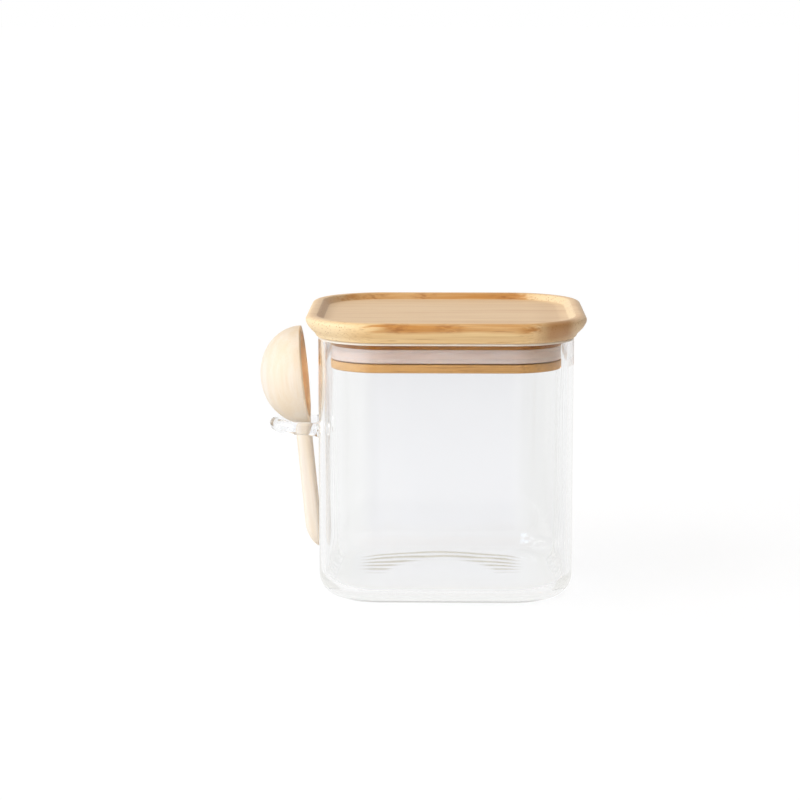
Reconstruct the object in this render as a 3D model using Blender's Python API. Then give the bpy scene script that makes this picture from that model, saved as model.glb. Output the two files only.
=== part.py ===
"""Square glass canister with a bamboo lid, a silicone seal and a wooden scoop in a glass loop.

Metres, +Z up. The origin is the centre of the jar's base, on the face that it stands on.
The front faces -Y, and the scoop hangs outside the -X wall. Every level outline of the jar
and of the lid is a square with round corners, drawn round the same four corner centres.
"""

import bmesh
import bpy
from math import cos, hypot, pi, radians, sin
from mathutils import Matrix

# Clearance between neighbouring pieces
GAP = 0.0003

# Jar
JAR_HALF = 0.050
JAR_CORNER_RADIUS = 0.025
JAR_HEIGHT = 0.103
JAR_WALL = 0.0022
BASE_THICKNESS = 0.0040
BASE_EDGE_RADIUS = 0.0085
FLOOR_EDGE_RADIUS = 0.0062

# Lid board, whose halves are counted from the jar's outside
BOARD_THICKNESS = 0.0080
BOARD_OVERHANG = 0.0049
BOARD_FOOT_OVERHANG = 0.0010
BOARD_FOOT_RADIUS = 0.0006
BOARD_TOP_EDGE_WIDTH = 0.0027
BOARD_TOP_EDGE_DROP = 0.0017
BOARD_CREST_WIDTH = 0.0009
RECESS_DEPTH = 0.0025
RECESS_SLOPE_WIDTH = 0.0035
TAPER_BEND = 1.24

# Lid plug, which enters the jar's mouth
PLUG_SIDE_CLEARANCE = 0.0028
NECK_HEIGHT = 0.0033
GROOVE_HEIGHT = 0.0058
GROOVE_DEPTH = 0.0034
FLANGE_HEIGHT = 0.0033
PLUG_EDGE_RADIUS = 0.0006

# Seal ring in the plug's groove, with two lips that sweep up towards the jar's wall
LIP_THICKNESS = 0.0009
LIP_TIP_THICKNESS = 0.0005
LIP_RISE = 0.0009
SEAL_INSET = 0.0001

# Loop of glass rod on the jar's -X wall, at the height where the hanging scoop rests on it
ROD_RADIUS = 0.0027
LOOP_RISE = 0.0011
LOOP_REACH = 0.0213
LOOP_SIDE_CLEARANCE = 0.0023
FOOT_RADIUS = 0.0036
FOOT_LENGTH = 0.0032

# Scoop, in its own frame: Z runs up the handle from its tip, and -X points into the bowl's back
SCOOP_LENGTH = 0.0904
SCOOP_TILT = radians(5.75)
SCOOP_TIP_HEIGHT = 0.01365
BOWL_RADIUS = 0.0197
BOWL_DEPTH = 0.0182
BOWL_WALL = 0.0033
BOWL_FULLNESS = 2.1
RIM_EDGE = 0.0012
HANDLE_THICKNESS = 0.0063
HANDLE_WIDTH = 0.0086
HANDLE_END_WIDTH = 0.0092
HANDLE_END_LENGTH = 0.0092
HANDLE_END_SKEW = 0.0010
JOIN_SHARPNESS = 9

# Faces per curve
CORNER_STEPS = 10
EDGE_STEPS = 5
RIM_STEPS = 6
TAPER_STEPS = 5
BEND_STEPS = 14
BOWL_STEPS = 24
HANDLE_STEPS = 5
TIP_STEPS = 8
SECTION_STEPS = 28
HOLLOW_STEPS = 9

# Halvings of the span in which the loop's level is looked for
HALVINGS = 30

# Sizes that follow from the ones above
CORNER_CENTRE = JAR_HALF - JAR_CORNER_RADIUS
MOUTH_HALF = JAR_HALF - JAR_WALL
PLUG_HALF = MOUTH_HALF - PLUG_SIDE_CLEARANCE
SLOT_HALF_WIDTH = HANDLE_END_WIDTH / 2 + LOOP_SIDE_CLEARANCE
BOWL_MIDDLE = SCOOP_LENGTH - BOWL_RADIUS


def clear_scene():
    """Empties the file of the objects that it opened with."""
    for thing in list(bpy.data.objects):
        bpy.data.objects.remove(thing)


def make_material(name, colour, roughness, transmission=0, ior=1.5):
    """A plain surface of one colour."""
    material = bpy.data.materials.new(name)
    material.use_nodes = True
    shader = material.node_tree.nodes["Principled BSDF"]
    shader.inputs["Base Color"].default_value = (*colour, 1)
    shader.inputs["Roughness"].default_value = roughness
    shader.inputs["Metallic"].default_value = 0
    shader.inputs["Transmission Weight"].default_value = transmission
    shader.inputs["IOR"].default_value = ior
    material.diffuse_color = (*colour, 1)
    return material


def finish_object(name, bm, material):
    """Turns the sketch into an object with its faces out and its round faces smooth."""
    bmesh.ops.recalc_face_normals(bm, faces=bm.faces)
    mesh = bpy.data.meshes.new(name)
    bm.to_mesh(mesh)
    bm.free()
    mesh.shade_smooth()
    mesh.set_sharp_from_angle(angle=radians(35))
    mesh.materials.append(material)
    thing = bpy.data.objects.new(name, mesh)
    bpy.context.collection.objects.link(thing)
    return thing


def add_empty(name, location, tilt=0):
    """The frame of a moving body, on the axis that it slides along."""
    empty = bpy.data.objects.new(name, None)
    empty.location = location
    empty.rotation_euler = (0, -tilt, 0)
    bpy.context.collection.objects.link(empty)
    return empty


def arc(centre, radius_out, radius_up, start, end, steps):
    """Points of a stretch of an ellipse in a profile, as (half width, height) pairs."""
    points = []
    for i in range(steps + 1):
        turn = radians(start + (end - start) * i / steps)
        points.append((centre[0] + radius_out * cos(turn), centre[1] + radius_up * sin(turn)))
    return points


def add_outline(bm, half, height):
    """A level outline: a square of this half width with its corners rounded about their centres."""
    corners = ((1, 1), (-1, 1), (-1, -1), (1, -1))
    ring = []
    for quarter, (side_x, side_y) in enumerate(corners):
        for i in range(CORNER_STEPS + 1):
            turn = (quarter + i / CORNER_STEPS) * pi / 2
            x = side_x * CORNER_CENTRE + (half - CORNER_CENTRE) * cos(turn)
            y = side_y * CORNER_CENTRE + (half - CORNER_CENTRE) * sin(turn)
            ring.append(bm.verts.new((x, y, height)))
    return ring


def bridge(bm, first, second):
    """A band of faces between two rings that have the same number of points."""
    for i in range(len(first)):
        bm.faces.new((first[i - 1], first[i], second[i], second[i - 1]))


def square_turned(profile, closed=False):
    """A profile carried round the square, with its two ends capped unless it closes on itself."""
    bm = bmesh.new()
    rings = [add_outline(bm, half, height) for half, height in profile]
    for first, second in zip(rings, rings[1:]):
        bridge(bm, first, second)
    if closed:
        bridge(bm, rings[-1], rings[0])
    else:
        bm.faces.new(rings[0])
        bm.faces.new(rings[-1])
    return bm


def make_jar(glass):
    """The blown body: a thick flat base, upright walls and a fire-polished rim."""
    outer_edge = (JAR_HALF - BASE_EDGE_RADIUS, BASE_EDGE_RADIUS)
    inner_edge = (MOUTH_HALF - FLOOR_EDGE_RADIUS, BASE_THICKNESS + FLOOR_EDGE_RADIUS)
    rim = (JAR_HALF - JAR_WALL / 2, JAR_HEIGHT - JAR_WALL / 2)
    profile = arc(outer_edge, BASE_EDGE_RADIUS, BASE_EDGE_RADIUS, -90, 0, EDGE_STEPS + 1)
    profile += arc(rim, JAR_WALL / 2, JAR_WALL / 2, 0, 180, RIM_STEPS)
    profile += arc(inner_edge, FLOOR_EDGE_RADIUS, FLOOR_EDGE_RADIUS, 0, -90, EDGE_STEPS)
    return finish_object("glass_jar", square_turned(profile), glass)


def make_board(bamboo, lid):
    """The lid's board: sides that taper down to the jar, and a shallow tray on top."""
    widest = JAR_HALF + BOARD_OVERHANG
    foot = JAR_HALF + BOARD_FOOT_OVERHANG
    shoulder = BOARD_THICKNESS - BOARD_TOP_EDGE_DROP
    crest = widest - BOARD_TOP_EDGE_WIDTH
    profile = arc(
        (foot - BOARD_FOOT_RADIUS, BOARD_FOOT_RADIUS),
        BOARD_FOOT_RADIUS,
        BOARD_FOOT_RADIUS,
        -90,
        -20,
        2,
    )
    for i in range(1, TAPER_STEPS):
        share = 1 - i / TAPER_STEPS
        height = shoulder + (BOARD_FOOT_RADIUS - shoulder) * share
        profile.append((widest + (foot - widest) * share**TAPER_BEND, height))
    profile += arc((crest, shoulder), BOARD_TOP_EDGE_WIDTH, BOARD_TOP_EDGE_DROP, 0, 90, EDGE_STEPS)
    inside = crest - BOARD_CREST_WIDTH
    tray_floor = BOARD_THICKNESS - RECESS_DEPTH
    profile.append((inside, BOARD_THICKNESS - BOARD_CREST_WIDTH / 4))
    profile.append((inside - RECESS_SLOPE_WIDTH * 2 / 3, tray_floor + RECESS_DEPTH / 5))
    profile.append((inside - RECESS_SLOPE_WIDTH, tray_floor))
    board = finish_object("lid_board", square_turned(profile), bamboo)
    board.parent = lid
    return board


def make_plug(bamboo, lid):
    """The plug glued under the board, with a neck, a groove for the seal and a flange."""
    groove_half = PLUG_HALF - GROOVE_DEPTH
    groove_top = -NECK_HEIGHT
    groove_floor = groove_top - GROOVE_HEIGHT
    bottom = groove_floor - FLANGE_HEIGHT
    radius = PLUG_EDGE_RADIUS
    profile = [(PLUG_HALF, -GAP), (PLUG_HALF, groove_top), (groove_half, groove_top)]
    profile += [(groove_half, groove_floor), (PLUG_HALF, groove_floor)]
    profile += arc((PLUG_HALF - radius, bottom + radius), radius, radius, 0, -90, 3)
    plug = finish_object("lid_plug", square_turned(profile), bamboo)
    plug.parent = lid
    return plug


def lip(root_half, root_height, tip_half):
    """One lip of the seal, from its lower root out to its raised tip and back to the band."""
    tip = root_height + LIP_THICKNESS + LIP_RISE
    return [
        (root_half, root_height),
        (tip_half, tip - LIP_TIP_THICKNESS),
        (tip_half - LIP_TIP_THICKNESS / 2, tip),
        (root_half, root_height + LIP_THICKNESS),
    ]


def make_seal(silicone, lid):
    """The silicone band in the groove, whose two lips all but reach the jar's inner wall."""
    inner = PLUG_HALF - GROOVE_DEPTH + GAP
    outer = PLUG_HALF - SEAL_INSET
    tip = MOUTH_HALF - GAP
    top = -NECK_HEIGHT - GAP
    bottom = top - GROOVE_HEIGHT + 2 * GAP
    profile = [(inner, top), (inner, bottom), (outer, bottom)]
    profile += lip(outer, bottom + LIP_THICKNESS / 2, tip)
    profile += lip(outer, top - LIP_THICKNESS * 3 / 2, tip)
    profile.append((outer, top))
    seal = finish_object("seal_ring", square_turned(profile, closed=True), silicone)
    seal.parent = lid
    return seal


def loop_bend():
    """The loop's half width at the rod's centre, and the X where its legs start to bend round."""
    half_width = SLOT_HALF_WIDTH + ROD_RADIUS
    bend_x = -JAR_HALF - LOOP_REACH + ROD_RADIUS + half_width
    return half_width, bend_x


def rod_rise(x):
    """How far the rod's middle line has risen above its feet on its way out from the wall."""
    share = (-JAR_HALF - x) / LOOP_REACH
    return LOOP_RISE * min(max(share, 0), 1) ** 1.5


def distance_to_rod(point, level):
    """From a point to the middle line of the loop's rod, whose feet are at this level."""
    half_width, bend_x = loop_bend()
    if point.x > bend_x:
        across = abs(point.y) - half_width
    else:
        across = hypot(point.x - bend_x, point.y) - half_width
    return hypot(across, point.z - level - rod_rise(point.x))


def make_loop(glass, level):
    """The U of glass rod, whose two legs end in wider feet on the jar's flat wall."""
    half_width, bend_x = loop_bend()
    wall_x = -JAR_HALF - GAP
    leg = []
    for i in range(EDGE_STEPS + 1):
        share = i / EDGE_STEPS
        flare = 1 + (FOOT_RADIUS / ROD_RADIUS - 1) * (1 - share) ** 2
        leg.append((wall_x - FOOT_LENGTH * share, -half_width, flare))
    path = list(leg)
    for i in range(BEND_STEPS + 1):
        turn = -pi / 2 - pi * i / BEND_STEPS
        path.append((bend_x + half_width * cos(turn), half_width * sin(turn), 1))
    path += [(x, -y, flare) for x, y, flare in reversed(leg)]
    curve = bpy.data.curves.new("scoop_loop", "CURVE")
    curve.dimensions = "3D"
    curve.bevel_depth = ROD_RADIUS
    curve.bevel_resolution = 4
    curve.use_fill_caps = True
    spline = curve.splines.new("POLY")
    spline.points.add(len(path) - 1)
    for point, (x, y, flare) in zip(spline.points, path):
        point.co = (x, y, level + rod_rise(x), 1)
        point.radius = flare
    curve.materials.append(glass)
    loop = bpy.data.objects.new("scoop_loop", curve)
    bpy.context.collection.objects.link(loop)
    return loop


def bowl_share(height):
    """How far up or down the bowl a height lies, from 0 at its middle to 1 at its edge."""
    return min(abs(height - BOWL_MIDDLE) / BOWL_RADIUS, 1)


def blend(first, second):
    """The larger of two sizes, rounded over where they are alike."""
    power = JOIN_SHARPNESS
    return (first**power + second**power) ** (1 / power)


def scoop_section(height):
    """The scoop's half width, front, widest line and back at this height above its tip."""
    share = bowl_share(height)
    bowl_half_width = BOWL_RADIUS * (1 - share**2) ** 0.5
    bowl_back = BOWL_DEPTH * (1 - share**BOWL_FULLNESS) ** (1 / BOWL_FULLNESS)
    if height > BOWL_MIDDLE:
        return bowl_half_width, 0, min(RIM_EDGE, bowl_back / 3), bowl_back
    into_end = max(1 - height / HANDLE_END_LENGTH, 0)
    along = min(height / (BOWL_MIDDLE - BOWL_RADIUS), 1)
    width = HANDLE_END_WIDTH + (HANDLE_WIDTH - HANDLE_END_WIDTH) * along
    width *= (1 - into_end**2.5) ** 0.5
    thickness = HANDLE_THICKNESS * (1 - into_end**1.6) ** 0.65
    front = HANDLE_END_SKEW * into_end**2
    half_width = blend(bowl_half_width, width / 2)
    back = blend(bowl_back, front + thickness)
    fold = max(min((bowl_half_width - width / 2) / width, 1), 0)
    middle = front + thickness / 2
    return half_width, front, middle + (RIM_EDGE - middle) * fold, back


def add_section(bm, height):
    """One level ring of the scoop: a flatter front half and a fuller back half."""
    half_width, front, middle, back = scoop_section(height)
    ring = []
    for i in range(SECTION_STEPS):
        turn = 2 * pi * i / SECTION_STEPS
        depth = back - middle if sin(turn) > 0 else middle - front
        ring.append(bm.verts.new((-middle - depth * sin(turn), half_width * cos(turn), height)))
    return ring


def scoop_heights():
    """The levels of the scoop's rings, closer together where its outline turns fastest."""
    heights = []
    for i in range(1, TIP_STEPS + 1):
        heights.append(HANDLE_END_LENGTH * (1 - cos(pi / 2 * i / TIP_STEPS)))
    neck = BOWL_MIDDLE - BOWL_RADIUS
    for i in range(1, HANDLE_STEPS):
        heights.append(HANDLE_END_LENGTH + (neck - HANDLE_END_LENGTH) * i / HANDLE_STEPS)
    for i in range(BOWL_STEPS):
        heights.append(BOWL_MIDDLE - BOWL_RADIUS * cos(pi * i / BOWL_STEPS))
    return heights


def make_hollow():
    """The cutter for the bowl: half of a flattened ball, with its flat side out past the rim."""
    radius = BOWL_RADIUS - BOWL_WALL
    depth = BOWL_DEPTH - BOWL_WALL
    bm = bmesh.new()
    rings = [hollow_ring(bm, radius, BOWL_WALL)]
    for i in range(HOLLOW_STEPS):
        rise = pi / 2 * i / HOLLOW_STEPS
        rings.append(hollow_ring(bm, radius * cos(rise), -depth * sin(rise)))
    for first, second in zip(rings, rings[1:]):
        bridge(bm, first, second)
    bm.faces.new(rings[0])
    close_to_pole(bm, rings[-1], bm.verts.new((-depth, 0, BOWL_MIDDLE)))
    hollow = finish_object("bowl_hollow", bm, make_material("cutter", (1, 1, 1), 1))
    hollow.hide_render = True
    hollow.display_type = "WIRE"
    return hollow


def hollow_ring(bm, radius, x):
    """One upright ring of the bowl's hollow."""
    ring = []
    for i in range(SECTION_STEPS):
        turn = 2 * pi * i / SECTION_STEPS
        ring.append(bm.verts.new((x, radius * cos(turn), BOWL_MIDDLE + radius * sin(turn))))
    return ring


def close_to_pole(bm, ring, pole):
    """A fan of faces from a ring to the point that closes it."""
    for i in range(len(ring)):
        bm.faces.new((ring[i - 1], ring[i], pole))


def make_scoop(wood):
    """The one-piece scoop: a thick round bowl that runs into a flat-sided handle."""
    bm = bmesh.new()
    rings = [add_section(bm, height) for height in scoop_heights()]
    for first, second in zip(rings, rings[1:]):
        bridge(bm, first, second)
    close_to_pole(bm, rings[0], bm.verts.new((-HANDLE_END_SKEW, 0, 0)))
    close_to_pole(bm, rings[-1], bm.verts.new((0, 0, SCOOP_LENGTH)))
    scoop = finish_object("wooden_scoop", bm, wood)
    hollow = make_hollow()
    cut = scoop.modifiers.new("hollow", "BOOLEAN")
    cut.operation = "DIFFERENCE"
    cut.solver = "EXACT"
    cut.object = hollow
    hollow.parent = scoop
    return scoop


def hang_scoop(scoop):
    """Hangs the scoop by the wall, its handle's end all but touching the glass."""
    tilt = Matrix.Rotation(-SCOOP_TILT, 3, "Y")
    reach = max((tilt @ vertex.co).x for vertex in scoop.data.vertices)
    slide = add_empty("scoop_slide", (-JAR_HALF - GAP - reach, 0, SCOOP_TIP_HEIGHT), SCOOP_TILT)
    scoop.parent = slide
    return slide


def loop_level(scoop, slide):
    """The highest level of the loop's feet at which its rod is clear of the hanging bowl."""
    seat = Matrix.Translation(slide.location) @ Matrix.Rotation(-SCOOP_TILT, 4, "Y")
    points = [seat @ vertex.co for vertex in scoop.data.vertices]
    clear = slide.location.z
    blocked = clear + SCOOP_LENGTH - BOWL_RADIUS
    for _ in range(HALVINGS):
        level = (clear + blocked) / 2
        if min(distance_to_rod(point, level) for point in points) > ROD_RADIUS + GAP:
            clear = level
        else:
            blocked = level
    return clear


def main():
    clear_scene()
    glass = make_material("clear_glass", (0.97, 0.985, 0.98), 0.02, transmission=1, ior=1.47)
    bamboo = make_material("bamboo", (0.71, 0.43, 0.2), 0.45)
    plug_bamboo = make_material("plug_bamboo", (0.62, 0.34, 0.14), 0.5)
    silicone = make_material("silicone", (0.8, 0.74, 0.71), 0.35)
    pale_wood = make_material("pale_wood", (0.86, 0.7, 0.48), 0.55)
    loop_glass = glass.copy()
    loop_glass.name = "loop_glass"
    make_jar(glass)
    lid = add_empty("lid_lift", (0, 0, JAR_HEIGHT + GAP))
    make_board(bamboo, lid)
    make_plug(plug_bamboo, lid)
    make_seal(silicone, lid)
    scoop = make_scoop(pale_wood)
    slide = hang_scoop(scoop)
    make_loop(loop_glass, loop_level(scoop, slide))


main()
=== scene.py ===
"""Looks of a square glass canister with a bamboo lid, a silicone seal and a hanging wooden scoop.

Metres, +Z up, the front towards -Y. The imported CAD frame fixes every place. Each class below holds
the sizes of one sub-assembly, builds its finer pieces on those places and dresses them.
"""

import logging
from dataclasses import dataclass
from enum import Enum
from math import cos, hypot, pi, radians, sin, tau

import bmesh
import bpy
from mathutils import Matrix, Vector, noise


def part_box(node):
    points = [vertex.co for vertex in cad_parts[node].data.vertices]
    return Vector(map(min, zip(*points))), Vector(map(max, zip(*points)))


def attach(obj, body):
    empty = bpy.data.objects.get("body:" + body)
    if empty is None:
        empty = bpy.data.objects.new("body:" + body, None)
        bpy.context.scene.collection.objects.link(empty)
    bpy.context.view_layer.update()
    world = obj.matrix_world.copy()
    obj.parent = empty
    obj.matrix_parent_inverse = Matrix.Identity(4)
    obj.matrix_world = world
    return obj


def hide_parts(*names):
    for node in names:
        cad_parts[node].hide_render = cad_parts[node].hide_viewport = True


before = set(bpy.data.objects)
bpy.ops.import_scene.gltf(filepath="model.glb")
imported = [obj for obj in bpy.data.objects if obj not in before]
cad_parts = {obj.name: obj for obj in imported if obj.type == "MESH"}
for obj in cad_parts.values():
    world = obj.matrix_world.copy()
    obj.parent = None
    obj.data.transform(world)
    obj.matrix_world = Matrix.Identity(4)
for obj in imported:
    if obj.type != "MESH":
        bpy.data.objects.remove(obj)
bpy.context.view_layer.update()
LOG = logging.getLogger("canister")

Socket = bpy.types.NodeSocket
Outputs = bpy.types.NodeOutputs
Value = Socket | float | int | bool | tuple[float, ...]
Range = tuple[float, float]
Place = tuple[float, float, float]
Colour = tuple[float, float, float]
Profile = list[tuple[float, float]]

WHITE: Colour = (1.0, 1.0, 1.0)
QUARTER_TURN = pi / 2
DIAGONAL = 2**0.5
GLASS_IOR = 1.47
SILICONE_IOR = 1.41
NOISE_ROUGHNESS = 0.55
CORNERS = 4.0


class Body(Enum):
    """The CAD bodies that pieces ride on."""

    JAR = "jar"
    LID = "lid"
    SCOOP = "scoop"


class Slot(Enum):
    """The record's material slots."""

    GLASS = "clear_glass"
    BAMBOO = "bamboo"
    SILICONE = "silicone"
    PALE_WOOD = "pale_wood"


class Effect(Enum):
    """The shader node groups that several materials share."""

    FIBRES = "wood_fibres"
    PORES = "end_grain_pores"
    EDGE_WEAR = "edge_wear"
    SMUDGES = "smudges"


def linear(red: int, green: int, blue: int) -> Colour:
    """A colour as a screen shows it, from 0 to 255, turned into the linear one that Blender reads.

    Args:
        red: The red share, as shown.
        green: The green share, as shown.
        blue: The blue share, as shown.

    Returns:
        The linear colour.
    """
    shown = (red / 255, green / 255, blue / 255)
    return tuple(c / 12.92 if c <= 0.04045 else ((c + 0.055) / 1.055) ** 2.4 for c in shown)


class Graph:
    """A node tree while it is wired up, for shaders and for Geometry Nodes alike."""

    def __init__(self, tree: bpy.types.NodeTree) -> None:
        """Args: tree: The tree to add nodes to."""
        self.tree = tree

    def feed(self, socket: Socket, value: Value) -> None:
        """Links a socket to another, or sets its plain value.

        Args:
            socket: The input to feed.
            value: An output socket, or a plain value.
        """
        if isinstance(value, bpy.types.NodeSocket):
            self.tree.links.new(value, socket)
        elif socket.type == "RGBA" and isinstance(value, tuple):
            socket.default_value = (*value[:3], 1)
        else:
            socket.default_value = value

    def feed_all(self, node: bpy.types.Node, inputs: dict) -> bpy.types.Node:
        """Feeds several inputs of a node.

        Args:
            node: The node.
            inputs: Values or sockets for its inputs, by name or by number.

        Returns:
            The same node.
        """
        for name, value in inputs.items():
            self.feed(node.inputs[name], value)
        return node

    def put(self, kind: str, inputs: dict | None = None, **settings: object) -> bpy.types.Node:
        """Adds one node.

        Args:
            kind: The node's Blender type.
            inputs: Values or sockets for its inputs, by name or by number.
            settings: Plain properties of the node.

        Returns:
            The new node.
        """
        node = self.tree.nodes.new(kind)
        for name, value in settings.items():
            setattr(node, name, value)
        return self.feed_all(node, inputs or {})

    def math(self, operation: str, *values: Value, clamp: bool = False) -> Socket:
        """A function of plain numbers.

        Args:
            operation: The Math node's operation.
            values: Its operands.
            clamp: True to keep the result from 0 to 1.

        Returns:
            The result's socket.
        """
        inputs = dict(enumerate(values))
        return self.put("ShaderNodeMath", inputs, operation=operation, use_clamp=clamp).outputs[0]

    def plus(self, first: Value, second: Value, clamp: bool = False) -> Socket:
        """The sum of two numbers."""
        return self.math("ADD", first, second, clamp=clamp)

    def minus(self, first: Value, second: Value) -> Socket:
        """The first number less the second."""
        return self.math("SUBTRACT", first, second)

    def times(self, first: Value, second: Value, clamp: bool = False) -> Socket:
        """The product of two numbers."""
        return self.math("MULTIPLY", first, second, clamp=clamp)

    def over(self, first: Value, second: Value, clamp: bool = False) -> Socket:
        """The first number divided by the second."""
        return self.math("DIVIDE", first, second, clamp=clamp)

    def whole(self, count: Value, size: Value) -> Socket:
        """How many whole lots of a size a count holds."""
        return self.math("FLOOR", self.over(self.plus(count, 0.5), size))

    def times_plus(self, value: Value, factor: Value, added: Value) -> Socket:
        """A number times a factor, plus another number."""
        return self.math("MULTIPLY_ADD", value, factor, added)

    def size(self, value: Value) -> Socket:
        """A number without its sign."""
        return self.math("ABSOLUTE", value)

    def axes(self, place: Value) -> Outputs:
        """The X, Y and Z of a place or a direction."""
        return self.put("ShaderNodeSeparateXYZ", {0: place}).outputs

    def vector(self, *parts: Value) -> Socket:
        """A place or a size from its X, Y and Z."""
        return self.put("ShaderNodeCombineXYZ", dict(enumerate(parts))).outputs[0]

    def scaled(self, place: Value, factor: Value) -> Socket:
        """A place or a direction times a number."""
        return self.put("ShaderNodeVectorMath", {0: place, "Scale": factor}, operation="SCALE").outputs[0]

    def span(self, value: Value, low: float, high: float, start: Value = 0.0, end: Value = 1.0) -> Socket:
        """Maps a range of numbers smoothly onto another.

        Args:
            value: What is mapped.
            low: The value that gives start.
            high: The value that gives end.
            start: The result at low.
            end: The result at high.

        Returns:
            The result's socket, which stays between start and end.
        """
        inputs = {"Value": value, "From Min": low, "From Max": high, "To Min": start, "To Max": end}
        return self.put("ShaderNodeMapRange", inputs, interpolation_type="SMOOTHSTEP").outputs[0]

    def line(self, value: Value, low: Value, high: Value, start: Value = 0.0, end: Value = 1.0) -> Socket:
        """Maps a range of numbers evenly onto another, as span does smoothly."""
        inputs = {"Value": value, "From Min": low, "From Max": high, "To Min": start, "To Max": end}
        return self.put("ShaderNodeMapRange", inputs).outputs[0]

    def blend(self, share: Value, first: Value, second: Value) -> Socket:
        """A number between two others, by the share of the second."""
        return self.put("ShaderNodeMix", {0: share, 2: first, 3: second}).outputs[0]

    def mix(self, share: Value, first: Value, second: Value) -> Socket:
        """Mixes two colours.

        Args:
            share: How much of the second colour shows.
            first: The colour at a share of 0.
            second: The colour at a share of 1.

        Returns:
            The mixed colour's socket.
        """
        node = self.put("ShaderNodeMix", data_type="RGBA", blend_type="MIX")
        self.feed(node.inputs["Factor"], share)
        colours = [socket for socket in node.inputs if socket.type == "RGBA"]
        self.feed(colours[0], first)
        self.feed(colours[1], second)
        return next(socket for socket in node.outputs if socket.type == "RGBA")

    def tone(self, colour: Value, other: Value, mask: Value, strength: Value) -> Socket:
        """Lays another colour over a colour.

        Args:
            colour: The colour underneath.
            other: The colour on top.
            mask: Where the top one shows.
            strength: How much of it shows there.

        Returns:
            The toned colour's socket.
        """
        return self.mix(self.times(mask, strength), colour, other)

    def either(self, share: Value, first: Socket, second: Socket) -> Socket:
        """A shader between two others, by the share of the second."""
        return self.put("ShaderNodeMixShader", {0: share, 1: first, 2: second}).outputs[0]

    def stretched_noise(self, place: Value, size: Value, detail: float = 3.0) -> Socket:
        """Noise whose grains have a real size along each axis.

        Args:
            place: The position, in metres.
            size: The grains' length along X, Y and Z, in metres.
            detail: How many finer layers are added.

        Returns:
            The noise, from 0 to 1.
        """
        grains = self.put("ShaderNodeVectorMath", {0: place, 1: size}, operation="DIVIDE").outputs[0]
        inputs = {"Vector": grains, "Scale": 1.0, "Detail": detail, "Roughness": NOISE_ROUGHNESS}
        return self.put("ShaderNodeTexNoise", inputs).outputs[0]

    def swing(self, place: Value, size: Value, detail: float) -> Socket:
        """The same noise about 0, from -0.5 to 0.5."""
        return self.minus(self.stretched_noise(place, size, detail), 0.5)

    def effect(self, effect: Effect, inputs: dict) -> bpy.types.Node:
        """Places one of the shared shader groups.

        Args:
            effect: Which group.
            inputs: Values or sockets for its inputs, by name.

        Returns:
            The group's node.
        """
        node = self.tree.nodes.new("ShaderNodeGroup")
        node.node_tree = bpy.data.node_groups[effect.value]
        return self.feed_all(node, inputs)

    def smudge(self, shader: bpy.types.Node, place: Socket, size: float, rough: Range) -> None:
        """Makes a shader's roughness a little uneven.

        Args:
            shader: The shader.
            place: The place on the piece.
            size: How large the patches are.
            rough: The least and the most roughness.
        """
        inputs = {"Place": place, "Size": size, "Least": rough[0], "Most": rough[1]}
        self.feed(shader.inputs["Roughness"], self.effect(Effect.SMUDGES, inputs).outputs["Roughness"])

    def relief(self, shader: bpy.types.Node, height: Socket, strength: float, depth: float) -> None:
        """Gives a shader fine relief.

        Args:
            shader: The shader.
            height: How high each point stands, from 0 to 1.
            strength: How much the relief shows.
            depth: Its depth, in metres.
        """
        bump = self.put("ShaderNodeBump", {"Height": height, "Strength": strength, "Distance": depth})
        self.feed(shader.inputs["Normal"], bump.outputs[0])


def new_group(
    effect: Effect, inputs: dict[str, Value], outputs: list[str]
) -> tuple[Graph, Outputs, bpy.types.NodeInputs]:
    """Starts a shader group that has named inputs and outputs.

    Args:
        effect: Whose name the group takes.
        inputs: The default of each input, by name; a tuple makes a vector.
        outputs: The names of the outputs, all plain numbers.

    Returns:
        The graph, the outputs of its input node and the inputs of its output node.
    """
    tree = bpy.data.node_groups.new(effect.value, "ShaderNodeTree")
    for name, value in inputs.items():
        kind = "NodeSocketVector" if isinstance(value, tuple) else "NodeSocketFloat"
        tree.interface.new_socket(name, in_out="INPUT", socket_type=kind).default_value = value
    for name in outputs:
        tree.interface.new_socket(name, in_out="OUTPUT", socket_type="NodeSocketFloat")
    graph = Graph(tree)
    return graph, graph.put("NodeGroupInput").outputs, graph.put("NodeGroupOutput").inputs


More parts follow.
